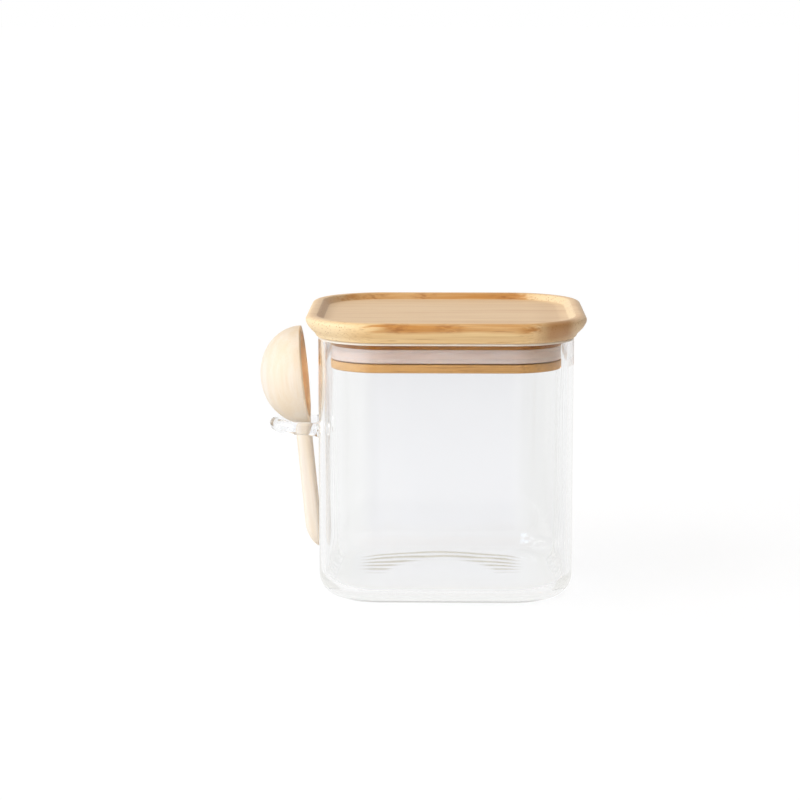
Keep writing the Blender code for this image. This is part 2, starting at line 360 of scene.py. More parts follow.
@dataclass(frozen=True)
class SharedEffects:
    """The settings of the shader groups, and their making."""

    origin: Place = (0.0, 0.0, 0.0)
    fibre_length: float = 0.05
    fibre_width: float = 0.0006
    band_width: float = 0.008
    band_stretch: float = 2.0
    streak_length: float = 0.35
    streak_width: float = 1.6
    streak_levels: Range = (0.6, 0.74)
    grain: Place = (1.0, 0.0, 0.0)
    pore_spacing: float = 0.0011
    cut_levels: Range = (0.12, 0.6)
    pore_reach: Range = (0.34, 0.14)
    wear_levels: Range = (0.52, 0.62)
    smudge_size: float = 0.02
    smudge_levels: Range = (0.35, 0.7)

    def build_fibres(self) -> None:
        """The long fine lines and the wide soft bands of wood that runs along X."""
        inputs = {"Place": self.origin, "Length": self.fibre_length, "Width": self.fibre_width}
        inputs["Band"] = self.band_width
        graph, given, made = new_group(Effect.FIBRES, inputs, ["Lines", "Bands", "Streaks"])
        for name, across, along in (("Lines", "Width", 1.0), ("Bands", "Band", self.band_stretch)):
            size = graph.vector(graph.times(given["Length"], along), given[across], given[across])
            graph.feed(made[name], graph.stretched_noise(given["Place"], size))
        length = graph.times(given["Length"], self.streak_length)
        width = graph.times(given["Width"], self.streak_width)
        streaks = graph.stretched_noise(given["Place"], graph.vector(length, width, width), 2.0)
        graph.feed(made["Streaks"], graph.span(streaks, *self.streak_levels))

    def build_pores(self) -> None:
        """The dark dots of cut fibres, which show only where the wood's grain ends in the surface."""
        inputs = {"Place": self.origin, "Grain": self.grain, "Spacing": self.pore_spacing}
        graph, given, made = new_group(Effect.PORES, inputs, ["Cut", "Dots"])
        facing = graph.put("ShaderNodeTexCoord").outputs["Normal"]
        inputs = {0: facing, 1: given["Grain"]}
        along = graph.put("ShaderNodeVectorMath", inputs, operation="DOT_PRODUCT").outputs["Value"]
        cut = graph.span(graph.size(along), *self.cut_levels)
        grid = graph.scaled(given["Place"], graph.over(1.0, given["Spacing"]))
        cells = graph.put("ShaderNodeTexVoronoi", {"Vector": grid, "Scale": 1.0})
        dots = graph.span(cells.outputs["Distance"], *self.pore_reach)
        graph.feed(made["Cut"], cut)
        graph.feed(made["Dots"], graph.times(dots, cut))

    def build_edge_wear(self) -> None:
        """A mask of the outer edges, which handling rubs smooth and pale."""
        start, full = self.wear_levels
        graph, given, made = new_group(Effect.EDGE_WEAR, {"Start": start, "Full": full}, ["Worn"])
        point = graph.put("ShaderNodeNewGeometry").outputs["Pointiness"]
        graph.feed(made["Worn"], graph.line(point, given["Start"], given["Full"]))

    def build_smudges(self) -> None:
        """Soft patches, from handling, that make a smooth surface a little less even."""
        inputs = {"Place": self.origin, "Size": self.smudge_size, "Least": 0.0, "Most": 1.0}
        graph, given, made = new_group(Effect.SMUDGES, inputs, ["Roughness"])
        size = graph.vector(given["Size"], given["Size"], given["Size"])
        patches = graph.stretched_noise(given["Place"], size)
        rough = graph.line(patches, *self.smudge_levels, given["Least"], given["Most"])
        graph.feed(made["Roughness"], rough)

    def build(self) -> None:
        """Builds the groups before any material places them."""
        self.build_fibres()
        self.build_pores()
        self.build_edge_wear()
        self.build_smudges()


def new_material(name: str) -> tuple[bpy.types.Material, Graph, bpy.types.Node, Socket]:
    """Starts a material with a Principled shader.

    Args:
        name: The material's name.

    Returns:
        The material, its graph, its Principled node and the socket of the place on the piece.
    """
    material = bpy.data.materials.new(name)
    material.use_nodes = True
    graph = Graph(material.node_tree)
    shader = material.node_tree.nodes["Principled BSDF"]
    return material, graph, shader, graph.put("ShaderNodeTexCoord").outputs["Object"]


@dataclass(frozen=True)
class FloorLines:
    """The fan of faint darker lines on the back half of the jar's floor, painted into the glass's colour as
    the shade that uneven glass refracts.
    """

    floor: float = 0.0040
    floor_reach: Range = (0.0008, 0.0003)
    middle_x: float = -0.002
    back: float = 0.0330
    side_drop: float = 0.0085
    half_width: float = 0.0285
    bend: float = 1.5
    middle_gap: float = 0.0080
    side_gap: float = -0.0018
    lines: float = 5.6
    last_fade: float = 2.0
    first_fade: Range = (-0.35, 0.0)
    side_fade: Range = (1.25, 0.9)
    line_levels: Range = (-0.7, 1.0)
    sway_size: Place = (0.02, 0.009, 0.02)
    sway: float = 0.7
    plain_middle: Place = (-0.012, 0.0240, 0.0335)
    plain_fade: Range = (0.86, 1.04)

    def mask(self, graph: Graph, place: Socket) -> Socket:
        """Where the painted refraction lines darken the glass's colour on the floor.

        Args:
            graph: The material's graph.
            place: The place on the jar.

        Returns:
            The mask, from 0 to 1.
        """
        parts = graph.axes(place)
        along = graph.minus(parts["X"], self.middle_x)
        side = graph.over(graph.size(along), self.half_width)
        bend = graph.math("POWER", side, self.bend)
        gap = graph.times_plus(bend, self.side_gap, self.middle_gap)
        first = graph.times_plus(bend, -self.side_drop, self.back)
        sway = graph.swing(place, self.sway_size, 1.0)
        deep = graph.over(graph.minus(first, parts["Y"]), gap)
        deep = graph.times_plus(sway, self.sway, deep)
        shown = graph.span(graph.math("COSINE", graph.times(deep, tau)), *self.line_levels)
        shown = graph.times(shown, graph.span(deep, *self.first_fade))
        shown = graph.times(shown, graph.span(deep, self.lines, self.lines - self.last_fade))
        shown = graph.times(shown, graph.span(side, *self.side_fade))
        start, half, length = self.plain_middle
        flat = graph.vector(graph.over(along, half), graph.over(graph.minus(parts["Y"], start), length))
        out = graph.put("ShaderNodeVectorMath", {0: flat}, operation="LENGTH").outputs["Value"]
        shown = graph.times(shown, graph.span(out, *self.plain_fade))
        high = graph.size(graph.minus(parts["Z"], self.floor))
        return graph.times(shown, graph.span(high, *self.floor_reach))


@dataclass(frozen=True)
class ClearGlass:
    """Clear blown glass, with faint lighter upright streaks painted into its colour as highlights of
    reflected lamps.

    Light that has been turned back more than most_turns times, and light at the jar's underside,
    passes straight on, as in the photograph's bright base on its white table.
    """

    name: str
    floor_lines: FloorLines
    tint: Colour = (0.950, 0.953, 0.963)
    # The lighter colour of the painted highlight streaks.
    clear: Colour = (0.965, 0.965, 0.965)
    corner_shade_tint: Colour = (0.928, 0.932, 0.93)
    base_shade_tint: Colour = (0.945, 0.945, 0.942)
    # The colour of the painted contact shadow along the foot.
    foot_shadow_tint: Colour = (0.30, 0.295, 0.28)
    # The beige of the painted refraction lines on the floor.
    painted_line_shade: Colour = (0.36, 0.29, 0.17)
    straight_tint: Colour = (0.952, 0.950, 0.940)
    shadow_tint: Colour = (0.93, 0.94, 0.94)
    depth_tint: Colour = (0.72, 0.86, 0.83)
    absorption: float = 1.0
    streak_size: Place = (0.006, 0.006, 0.12)
    streak_levels: Range = (0.5, 0.78)
    streak_share: float = 0.3
    corner_reach: Range = (0.024, 0.040)
    base_rise: Range = (0.016, 0.006)
    base_reach: Range = (0.036, 0.041)
    foot_rise: Range = (0.0022, 0.0010)
    foot_reach: Range = (0.0416, 0.0428)
    open_bottom: Range = (0.0008, 0.0006)
    most_turns: float = 1.5
    smudge_size: float = 0.03
    rough: Range = (0.0, 0.012)
    wave_size: Place = (0.012, 0.012, 0.05)
    wave_strength: float = 0.25
    wave_depth: float = 0.0006

    def colour(self, graph: Graph, place: Socket) -> Socket:
        """The glass's colour with painted light: highlight streaks, painted shade greyer at the corners and
        the base, a painted contact shadow darkest at the foot, and painted refraction lines on the floor.

        Args:
            graph: The material's graph.
            place: The place on the jar.

        Returns:
            The colour.
        """
        # Lighter upright streaks: painted highlights of reflected lamps.
        streaks = graph.stretched_noise(place, self.streak_size, 2.0)
        streaks = graph.span(streaks, *self.streak_levels, 0.0, self.streak_share)
        parts = graph.axes(place)
        sides = (graph.size(parts["X"]), graph.size(parts["Y"]))
        # Painted shade: the glass greyer where the view passes its corners.
        corner = graph.span(graph.math("MINIMUM", *sides), *self.corner_reach)
        colour = graph.mix(streaks, graph.mix(corner, self.tint, self.corner_shade_tint), self.clear)
        out = graph.math("MAXIMUM", *sides)
        # Painted shade: the glass greyer low down, over the thick base.
        low = graph.times(graph.span(parts["Z"], *self.base_rise), graph.span(out, *self.base_reach))
        colour = graph.mix(low, colour, self.base_shade_tint)
        # Painted contact shadow: darkest along the foot, on rays entering the glass.
        foot = graph.times(graph.span(parts["Z"], *self.foot_rise), graph.span(out, *self.foot_reach))
        entry = graph.minus(1.0, graph.put("ShaderNodeNewGeometry").outputs["Backfacing"])
        colour = graph.tone(colour, self.foot_shadow_tint, foot, entry)
        # Painted refraction lines: the floor's fan of beige shade.
        return graph.mix(self.floor_lines.mask(graph, place), colour, self.painted_line_shade)

    def material(self) -> bpy.types.Material:
        """The finish as a material.

        Returns:
            The material. Lamps shine through it, so that what stands behind glass is lit.
        """
        material, graph, shader, place = new_material(self.name)
        inputs = {"Base Color": self.colour(graph, place), "IOR": GLASS_IOR, "Transmission Weight": 1.0}
        graph.feed_all(shader, inputs)
        graph.smudge(shader, place, self.smudge_size, self.rough)
        waves = graph.stretched_noise(place, self.wave_size, 1.0)
        graph.relief(shader, waves, self.wave_strength, self.wave_depth)
        path = graph.put("ShaderNodeLightPath").outputs
        turned = graph.math("GREATER_THAN", path["Glossy Depth"], self.most_turns)
        bottom = graph.span(graph.axes(place)["Z"], *self.open_bottom)
        straight, shadow = [
            graph.put("ShaderNodeBsdfTransparent", {"Color": tint}).outputs[0]
            for tint in (self.straight_tint, self.shadow_tint)
        ]
        body = graph.either(graph.math("MAXIMUM", turned, bottom), shader.outputs[0], straight)
        inside = {"Color": self.depth_tint, "Density": self.absorption}
        volume = graph.put("ShaderNodeVolumeAbsorption", inside).outputs[0]
        shown = graph.either(path["Is Shadow Ray"], body, shadow)
        graph.feed_all(material.node_tree.nodes["Material Output"], {"Surface": shown, "Volume": volume})
        return material


@dataclass(frozen=True)
class GroundGlass:
    """Glass that is ground flat and left matt, as on the jar's rim; its near-white cream colour is a painted
    highlight, the bright strip of light along the rim.
    """

    name: str
    # Near-white cream: the painted highlight of the lit rim.
    colour: Colour = linear(255, 246, 228)
    shade: Colour = linear(250, 236, 214)
    cloud_size: Place = (0.006, 0.006, 0.002)
    cloud_levels: Range = (0.35, 0.7)
    clearness: float = 0.2
    smudge_size: float = 0.004
    rough: Range = (0.45, 0.6)
    grit_size: Place = (0.0004, 0.0004, 0.0004)
    grit_strength: float = 0.2
    grit_depth: float = 0.00005

    def material(self) -> bpy.types.Material:
        """The finish as a material.

        Returns:
            The material.
        """
        material, graph, shader, place = new_material(self.name)
        cloud = graph.span(graph.stretched_noise(place, self.cloud_size), *self.cloud_levels)
        inputs = {
            "Base Color": graph.mix(cloud, self.colour, self.shade),
            "IOR": GLASS_IOR,
            "Transmission Weight": self.clearness,
        }
        graph.feed_all(shader, inputs)
        graph.smudge(shader, place, self.smudge_size, self.rough)
        grit = graph.stretched_noise(place, self.grit_size)
        graph.relief(shader, grit, self.grit_strength, self.grit_depth)
        return material


@dataclass(frozen=True)
class Bamboo:
    """Satin bamboo laminated from strips that run along X, paler in the lower layer; on the plug the upper
    band is painted shade under the board.
    """

    name: str
    pale: Colour = linear(239, 203, 155)
    honey: Colour = linear(242, 205, 146)
    amber: Colour = linear(207, 143, 70)
    dark: Colour = linear(168, 104, 46)
    end: Colour = linear(244, 216, 170)
    # Painted shade for faces turned from the light: the board's right end and the tray's left wall.
    painted_end_shade: Colour = linear(188, 138, 84)
    worn: Colour = linear(240, 214, 170)
    # The top of the lower layer; on the plug it marks where the painted shade of the neck starts.
    seam_and_shade_height: float = 0.1076
    seam_softness: float = 0.0009
    seam_sway: float = 0.003
    sway_size: Place = (0.03, 0.03, 0.004)
    front_to_back: Range = (-0.01, 0.01)
    amber_front: Range = (0.0035, 0.0320)
    amber_back: Range = (-0.0055, 0.0385)
    amber_fade: Range = (0.013, 0.006)
    ragged_size: Place = (0.03, 0.0012, 0.0012)
    ragged: float = 0.02
    amber_size: Place = (0.024, 0.003, 0.0011)
    amber_levels: Range = (0.3, 0.55)
    least_amber: float = 0.7
    mark_centres: tuple[float, ...] = (-0.0185, 0.0005, 0.0345)
    back_marks: float = 0.0100
    mark_length: float = 0.0085
    mark_size: Place = (0.004, 0.0011, 0.0011)
    mark_levels: Range = (0.42, 0.66)
    mark_share: float = 0.75
    fibre_length: float = 0.045
    fibre_width: float = 0.0005
    side_levels: Range = (0.12, 0.5)
    band_levels: Range = (0.3, 0.72)
    band_share: float = 0.25
    line_levels: Range = (0.45, 0.75)
    line_share: float = 0.32
    side_streaks: float = 0.45
    least_streaks: float = 0.08
    end_share: float = 0.75
    dot_share: float = 0.55
    outside_levels: Range = (-0.1, 0.3)
    right_reach: Range = (0.032, 0.041)
    right_fade: Range = (0.0460, 0.0510)
    right_last: float = 0.25
    right_rise: Range = (0.1015, 0.1050)
    right_low: float = 0.2
    inner_reach: Range = (-0.030, -0.040)
    inner_levels: Range = (0.15, 0.5)
    inner_shade: float = 0.5
    rough_levels: Range = (0.3, 0.8)
    roughness: float = 0.42
    most_rougher: float = 0.14
    gloss: float = 0.5
    wear: float = 0.35
    relief_strength: float = 0.35
    relief_depth: float = 0.00012

    def marks(self, graph: Graph, place: Socket) -> Socket:
        """The short brown marks of the culm's nodes.

        Args:
            graph: The material's graph.
            place: The place on the piece.

        Returns:
            Their mask, from 0 to 1.
        """
        parts = graph.axes(place)
        along = graph.plus(parts["X"], graph.span(parts["Y"], *self.front_to_back, 0.0, self.back_marks))
        ragged = graph.stretched_noise(place, self.mark_size)
        total: Value = 0.0
        for centre in self.mark_centres:
            distance = graph.size(graph.minus(along, centre))
            total = graph.plus(total, graph.span(distance, self.mark_length, 0.0))
        return graph.times(total, graph.span(ragged, *self.mark_levels), clamp=True)

    def strip(self, graph: Graph, place: Socket) -> Socket:
        """Where the amber strips lie along X, which end sooner on the front than on the back.

        Args:
            graph: The material's graph.
            place: The place on the piece.

        Returns:
            Their mask, from 0 to 1, broken into long streaks.
        """
        parts = graph.axes(place)
        middle, reach = [
            graph.span(parts["Y"], *self.front_to_back, front, back)
            for front, back in zip(self.amber_front, self.amber_back)
        ]
        away = graph.size(graph.minus(parts["X"], middle))
        ragged = graph.stretched_noise(place, self.ragged_size, 2.0)
        away = graph.minus(graph.times_plus(ragged, self.ragged, away), reach)
        streaks = graph.stretched_noise(place, self.amber_size, 2.0)
        streaks = graph.span(streaks, *self.amber_levels, self.least_amber, 1.0)
        return graph.times(graph.span(away, *self.amber_fade), streaks)

    def shade_ends(
        self, graph: Graph, colour: Socket, place: tuple[Socket, Socket], facing: Outputs
    ) -> Socket:
        """Paints shade on the board's right end, and on its tray's left wall, which faces the same way, away
        from the key light.

        Args:
            graph: The material's graph.
            colour: The colour so far.
            place: How far along X the point is, and its height.
            facing: The X, Y and Z of the way that the surface faces.

        Returns:
            The colour.
        """
        along, height = place
        outside = graph.span(facing["X"], *self.outside_levels)
        right = graph.times(graph.span(along, *self.right_reach), outside)
        right = graph.times(right, graph.span(along, *self.right_fade, 1.0, self.right_last))
        right = graph.times(right, graph.span(height, *self.right_rise, self.right_low, 1.0))
        # Painted shade on the board's right end.
        colour = graph.mix(right, colour, self.painted_end_shade)
        # Painted shade on the tray's left wall.
        inside = graph.span(facing["X"], *self.inner_levels)
        inner = graph.times(graph.span(along, *self.inner_reach), inside)
        return graph.tone(colour, self.painted_end_shade, inner, self.inner_shade)

    def colour(self, graph: Graph, place: Socket, fibres: Outputs, pores: Outputs) -> Socket:
        """The bamboo's colour, with its strips, lines, marks, ends, worn edges and painted shade.

        Args:
            graph: The material's graph.
            place: The place on the piece.
            fibres: The outputs of the fibres' group.
            pores: The outputs of the pores' group.

        Returns:
            The colour.
        """
        along, _, height = graph.axes(place)
        sway = graph.swing(place, self.sway_size, 2.0)
        height = graph.times_plus(sway, self.seam_sway, height)
        band_edge = (self.seam_and_shade_height - self.seam_softness, self.seam_and_shade_height + self.seam_softness)
        upper = graph.span(height, *band_edge)
        facing = graph.axes(graph.put("ShaderNodeTexCoord").outputs["Normal"])
        sides = graph.span(graph.size(facing["Y"]), *self.side_levels)
        strip = graph.times(graph.times(upper, sides), self.strip(graph, place))
        cut = graph.times(pores["Cut"], graph.minus(1.0, strip))
        bands = graph.span(fibres["Bands"], *self.band_levels, -self.band_share, self.band_share)
        rich = graph.plus(strip, bands, clamp=True)
        colour = graph.mix(rich, graph.mix(sides, self.pale, self.honey), self.amber)
        lines = graph.span(fibres["Lines"], *self.line_levels, 0.0, self.line_share)
        colour = graph.mix(lines, colour, self.dark)
        streaky = graph.times_plus(sides, self.side_streaks, self.least_streaks)
        colour = graph.tone(colour, self.dark, fibres["Streaks"], streaky)
        marks = graph.times(self.marks(graph, place), strip)
        colour = graph.tone(colour, self.dark, marks, self.mark_share)
        colour = graph.tone(colour, self.end, cut, self.end_share)
        colour = self.shade_ends(graph, colour, (along, height), facing)
        colour = graph.tone(colour, self.dark, pores["Dots"], self.dot_share)
        worn = graph.effect(Effect.EDGE_WEAR, {}).outputs["Worn"]
        return graph.tone(colour, self.worn, worn, self.wear)

    def material(self) -> bpy.types.Material:
        """The finish as a material.

        Returns:
            The material.
        """
        material, graph, shader, place = new_material(self.name)
        sizes = {"Place": place, "Length": self.fibre_length, "Width": self.fibre_width}
        fibres = graph.effect(Effect.FIBRES, sizes).outputs
        pores = graph.effect(Effect.PORES, {"Place": place}).outputs
        rough = (self.roughness, self.roughness + self.most_rougher)
        inputs = {
            "Base Color": self.colour(graph, place, fibres, pores),
            "Roughness": graph.span(fibres["Lines"], *self.rough_levels, *rough),
            "Specular IOR Level": self.gloss,
        }
        graph.feed_all(shader, inputs)
        height = graph.minus(fibres["Lines"], pores["Dots"])
        graph.relief(shader, height, self.relief_strength, self.relief_depth)
        return material


@dataclass(frozen=True)
class Silicone:
    """Milky silicone with a soft moulded surface."""

    name: str
    colour: Colour = linear(223, 200, 183)
    shade: Colour = linear(216, 190, 172)
    cover: float = 1.0
    relief: float = 0.12
    cloud_size: Place = (0.012, 0.012, 0.003)
    cloud_levels: Range = (0.35, 0.7)
    smudge_size: float = 0.006
    rough: Range = (0.3, 0.45)
    glow: float = 0.35
    glow_spread: Place = (1.0, 0.75, 0.6)
    glow_depth: float = 0.0015
    grain_size: Place = (0.0007, 0.0007, 0.0004)
    grain_depth: float = 0.0001

    def material(self) -> bpy.types.Material:
        """The finish as a material.

        Returns:
            The material.
        """
        material, graph, shader, place = new_material(self.name)
        cloud = graph.span(graph.stretched_noise(place, self.cloud_size), *self.cloud_levels)
        inputs = {
            "Base Color": graph.mix(cloud, self.colour, self.shade),
            "Alpha": self.cover,
            "IOR": SILICONE_IOR,
            "Subsurface Weight": self.glow,
            "Subsurface Radius": self.glow_spread,
            "Subsurface Scale": self.glow_depth,
        }
        graph.feed_all(shader, inputs)
        graph.smudge(shader, place, self.smudge_size, self.rough)
        grain = graph.stretched_noise(place, self.grain_size)
        graph.relief(shader, grain, self.relief, self.grain_depth)
        return material


@dataclass(frozen=True)
class PaleWood:
    """Sanded, unfinished pale wood, whose grain runs along a leaning handle; the bowl's inside is painted
    warmer and darker as shade.
    """

    name: str
    lean: float
    pale: Colour = linear(235, 221, 203)
    warm: Colour = linear(231, 210, 180)
    dark: Colour = linear(214, 176, 130)
    # The bowl's inside, painted warmer and darker as shade.
    inside: Colour = linear(244, 204, 158)
    bowl_centre: Place = (-0.05637, 0.0, 0.08402)
    bowl_reach: float = 0.0168
    bowl_edge: float = 0.0004
    fibre_length: float = 0.03
    fibre_width: float = 0.0007
    band_width: float = 0.005
    band_levels: Range = (0.3, 0.7)
    line_levels: Range = (0.5, 0.8)
    line_share: float = 0.22
    pore_spacing: float = 0.0008
    end_share: float = 0.35
    dot_share: float = 0.2
    wear: float = 0.4
    rough_levels: Range = (0.3, 0.8)
    rough: Range = (0.52, 0.66)
    relief_strength: float = 0.3
    relief_depth: float = 0.0001

    def material(self) -> bpy.types.Material:
        """The finish as a material.

        Returns:
            The material.
        """
        material, graph, shader, place = new_material(self.name)
        out = graph.put("ShaderNodeVectorMath", {0: place, 1: self.bowl_centre}, operation="DISTANCE")
        hollow = graph.span(out.outputs["Value"], self.bowl_reach + self.bowl_edge, self.bowl_reach)
        turned = {"Vector": place, "Rotation": (0.0, QUARTER_TURN + self.lean, 0.0)}
        place = graph.put("ShaderNodeMapping", turned).outputs[0]
        sizes = {
            "Place": place,
            "Length": self.fibre_length,
            "Width": self.fibre_width,
            "Band": self.band_width,
        }
        fibres = graph.effect(Effect.FIBRES, sizes).outputs
        bands = graph.span(fibres["Bands"], *self.band_levels)
        # Painted shade inside the bowl, by the hollow's mask.
        colour = graph.mix(hollow, graph.mix(bands, self.pale, self.warm), self.inside)
        lines = graph.span(fibres["Lines"], *self.line_levels, 0.0, self.line_share)
        colour = graph.mix(lines, colour, self.dark)
        grain = (-sin(self.lean), 0.0, cos(self.lean))
        pores = graph.effect(Effect.PORES, {"Place": place, "Grain": grain, "Spacing": self.pore_spacing})
        colour = graph.tone(colour, self.warm, pores.outputs["Cut"], self.end_share)
        colour = graph.tone(colour, self.dark, pores.outputs["Dots"], self.dot_share)
        worn = graph.effect(Effect.EDGE_WEAR, {}).outputs["Worn"]
        colour = graph.tone(colour, self.dark, worn, self.wear)
        rough = graph.span(fibres["Lines"], *self.rough_levels, *self.rough)
        graph.feed_all(shader, {"Base Color": colour, "Roughness": rough})
        graph.relief(shader, fibres["Lines"], self.relief_strength, self.relief_depth)
        return material


def new_growth(name: str, inputs: dict[str, str]) -> tuple[Graph, Outputs]:
    """Starts a Geometry Nodes tree that has named inputs.

    Args:
        name: The tree's name.
        inputs: The kind of each input, by name.

    Returns:
        The tree's graph and the outputs of its input node.
    """
    tree = bpy.data.node_groups.new(name, "GeometryNodeTree")
    for label, kind in inputs.items():
        tree.interface.new_socket(label, in_out="INPUT", socket_type="NodeSocket" + kind)
    tree.interface.new_socket("Geometry", in_out="OUTPUT", socket_type="NodeSocketGeometry")
    graph = Graph(tree)
    return graph, graph.put("NodeGroupInput").outputs


def end_growth(graph: Graph, shape: Socket, finish: Socket) -> bpy.types.NodeTree:
    """Ends a Geometry Nodes tree: the shape becomes a real mesh and gets its material.

    Args:
        graph: The tree's graph.
        shape: The shape.
        finish: The material.

    Returns:
        The tree.
    """
    real = graph.put("GeometryNodeRealizeInstances", {"Geometry": shape}).outputs[0]
    dressed = graph.put("GeometryNodeSetMaterial", {"Geometry": real, "Material": finish})
    graph.feed(graph.put("NodeGroupOutput").inputs[0], dressed.outputs[0])
    return graph.tree


@dataclass(frozen=True)
class Outline:
    """The square with round corners that every level ring of the jar and the lid follows.

    Its corners turn about four fixed centres. Rings smaller than the core keep the core's shape.
    """

    tree_name: str = "carried_profile"
    corner_centre: float = 0.025
    core_half: float = 0.0285
    arc_steps: int = 18
    side_steps: int = 18
    merge_distance: float = 1e-6

    def tree(self) -> bpy.types.NodeTree:
        """The Geometry Nodes tree that carries a profile round the outline.

        Returns:
            The tree. Its profile holds a half width in X and a height in Z at each point.
        """
        inputs = {"Profile": "Object", "Rings": "Int", "Finish": "Material"}
        inputs |= dict.fromkeys(("Corner Centre", "Core Half Width", "Arc Steps", "Side Steps"), "Float")
        graph, given = new_growth(self.tree_name, inputs)
        grid, ring, column = self.grid(graph, given)
        profile = graph.put("GeometryNodeObjectInfo", {"Object": given["Profile"]}).outputs["Geometry"]
        inputs = {"Geometry": profile, "Index": ring}
        sample = graph.put("GeometryNodeSampleIndex", inputs, data_type="FLOAT_VECTOR")
        place = graph.put("GeometryNodeInputPosition").outputs[0]
        graph.feed(next(s for s in sample.inputs if s.type == "VECTOR" and s.enabled), place)
        point = graph.axes(next(s for s in sample.outputs if s.enabled))
        level_x, level_y = self.ring_point(graph, given, point["X"], column)
        inputs = {"Geometry": grid, "Position": graph.vector(level_x, level_y, point["Z"])}
        shaped = graph.put("GeometryNodeSetPosition", inputs).outputs[0]
        inputs = {"Geometry": shaped, "Distance": self.merge_distance}
        closed = graph.put("GeometryNodeMergeByDistance", inputs).outputs[0]
        return end_growth(graph, closed, given["Finish"])

    def grid(self, graph: Graph, given: Outputs) -> tuple[Socket, Socket, Socket]:
        """The flat grid that becomes the surface, with a row for each ring.

        Args:
            graph: The tree's graph.
            given: The tree's inputs.

        Returns:
            The grid, and for each of its points the ring's number and the place along the ring.
        """
        steps = graph.plus(given["Arc Steps"], given["Side Steps"])
        columns = graph.times_plus(steps, CORNERS, 1.0)
        inputs = {"Size X": 1.0, "Size Y": 1.0, "Vertices X": given["Rings"], "Vertices Y": columns}
        grid = graph.put("GeometryNodeMeshGrid", inputs).outputs["Mesh"]
        index = graph.put("GeometryNodeInputIndex").outputs[0]
        ring = graph.whole(index, columns)
        return grid, ring, graph.minus(index, graph.times(ring, columns))

    def ring_point(
        self, graph: Graph, given: Outputs, half: Socket, column: Socket
    ) -> tuple[Socket, Socket]:
        """Where a point of a ring lies in plan.

        Args:
            graph: The tree's graph.
            given: The tree's inputs.
            half: The ring's half width.
            column: The point's number along the ring.

        Returns:
            The point's X and Y.
        """
        arc, side, centre = given["Arc Steps"], given["Side Steps"], given["Corner Centre"]
        steps = graph.plus(arc, side)
        quarter = graph.whole(column, steps)
        along = graph.minus(column, graph.times(quarter, steps))
        turned = graph.over(along, arc, clamp=True)
        crossed = graph.over(graph.minus(along, arc), side, clamp=True)
        turn = graph.times(graph.plus(quarter, turned), QUARTER_TURN)
        to_corner = graph.times(graph.plus(quarter, 0.5), QUARTER_TURN)
        reach = graph.times(centre, DIAGONAL)
        corner_x = graph.times(reach, graph.math("COSINE", to_corner))
        corner_y = graph.times(reach, graph.math("SINE", to_corner))
        wide = graph.math("MAXIMUM", half, given["Core Half Width"])
        radius = graph.minus(wide, centre)
        shrink = graph.over(half, wide)
        back = graph.minus(1.0, crossed)
        base_x = graph.minus(graph.times(corner_x, back), graph.times(corner_y, crossed))
        base_y = graph.plus(graph.times(corner_y, back), graph.times(corner_x, crossed))
        plan = []
        for way, base in (("COSINE", base_x), ("SINE", base_y)):
            far = graph.times_plus(radius, graph.math(way, turn), base)
            plan.append(graph.times(far, shrink))
        return plan[0], plan[1]

    def carry(self, name: str, profile: Profile, finish: bpy.types.Material) -> bpy.types.Object:
        """Carries a profile round the outline and closes it.

        Args:
            name: The new piece's name.
            profile: Half widths and heights, from end to end.
            finish: The piece's material.

        Returns:
            The piece, as a plain mesh.
        """
        guide = bpy.data.meshes.new(name + "_profile")
        guide.from_pydata([(half, 0.0, height) for half, height in profile], [], [])
        inputs = {
            "Profile": bpy.data.objects.new(name + "_profile", guide),
            "Rings": len(profile),
            "Finish": finish,
            "Corner Centre": self.corner_centre,
            "Core Half Width": self.core_half,
            "Arc Steps": float(self.arc_steps),
            "Side Steps": float(self.side_steps),
        }
        return grown(name, self.shared_tree(), inputs)

    def shared_tree(self) -> bpy.types.NodeTree:
        """The tree, built the first time that it is asked for."""
        return bpy.data.node_groups.get(self.tree_name) or self.tree()


def grown(name: str, tree: bpy.types.NodeTree, inputs: dict) -> bpy.types.Object:
    """Runs a Geometry Nodes tree once and keeps its result as a plain mesh.

    Args:
        name: The new piece's name.
        tree: The tree.
        inputs: Its inputs, by name. Objects among them are guides, which go when it has run.

    Returns:
        The piece, smooth, with its faces out.
    """
    host = bpy.data.objects.new(name + "_host", bpy.data.meshes.new(name + "_host"))
    bpy.context.collection.objects.link(host)
    guides = [value for value in inputs.values() if isinstance(value, bpy.types.Object)]
    for guide in guides:
        bpy.context.collection.objects.link(guide)
    modifier = host.modifiers.new("grow", "NODES")
    modifier.node_group = tree
    for item in tree.interface.items_tree:
        if item.in_out == "INPUT":
            modifier[item.identifier] = inputs[item.name]
    evaluated = host.evaluated_get(bpy.context.evaluated_depsgraph_get())
    mesh = bpy.data.meshes.new_from_object(evaluated)
    for thing in (host, *guides):
        bpy.data.objects.remove(thing)
    piece = bpy.data.objects.new(name, mesh)
    bpy.context.collection.objects.link(piece)
    faces_out(piece)
    return piece


def faces_out(piece: bpy.types.Object, crease: float = 38.0) -> None:
    """Turns a closed piece's faces out and shades it smooth between its creases.

    Args:
        piece: The piece.
        crease: The angle from which an edge stays sharp, in degrees.
    """
    mesh = bmesh.new()
    mesh.from_mesh(piece.data)
    bmesh.ops.recalc_face_normals(mesh, faces=mesh.faces)
    mesh.to_mesh(piece.data)
    mesh.free()
    piece.data.shade_smooth()
    piece.data.set_sharp_from_angle(angle=radians(crease))


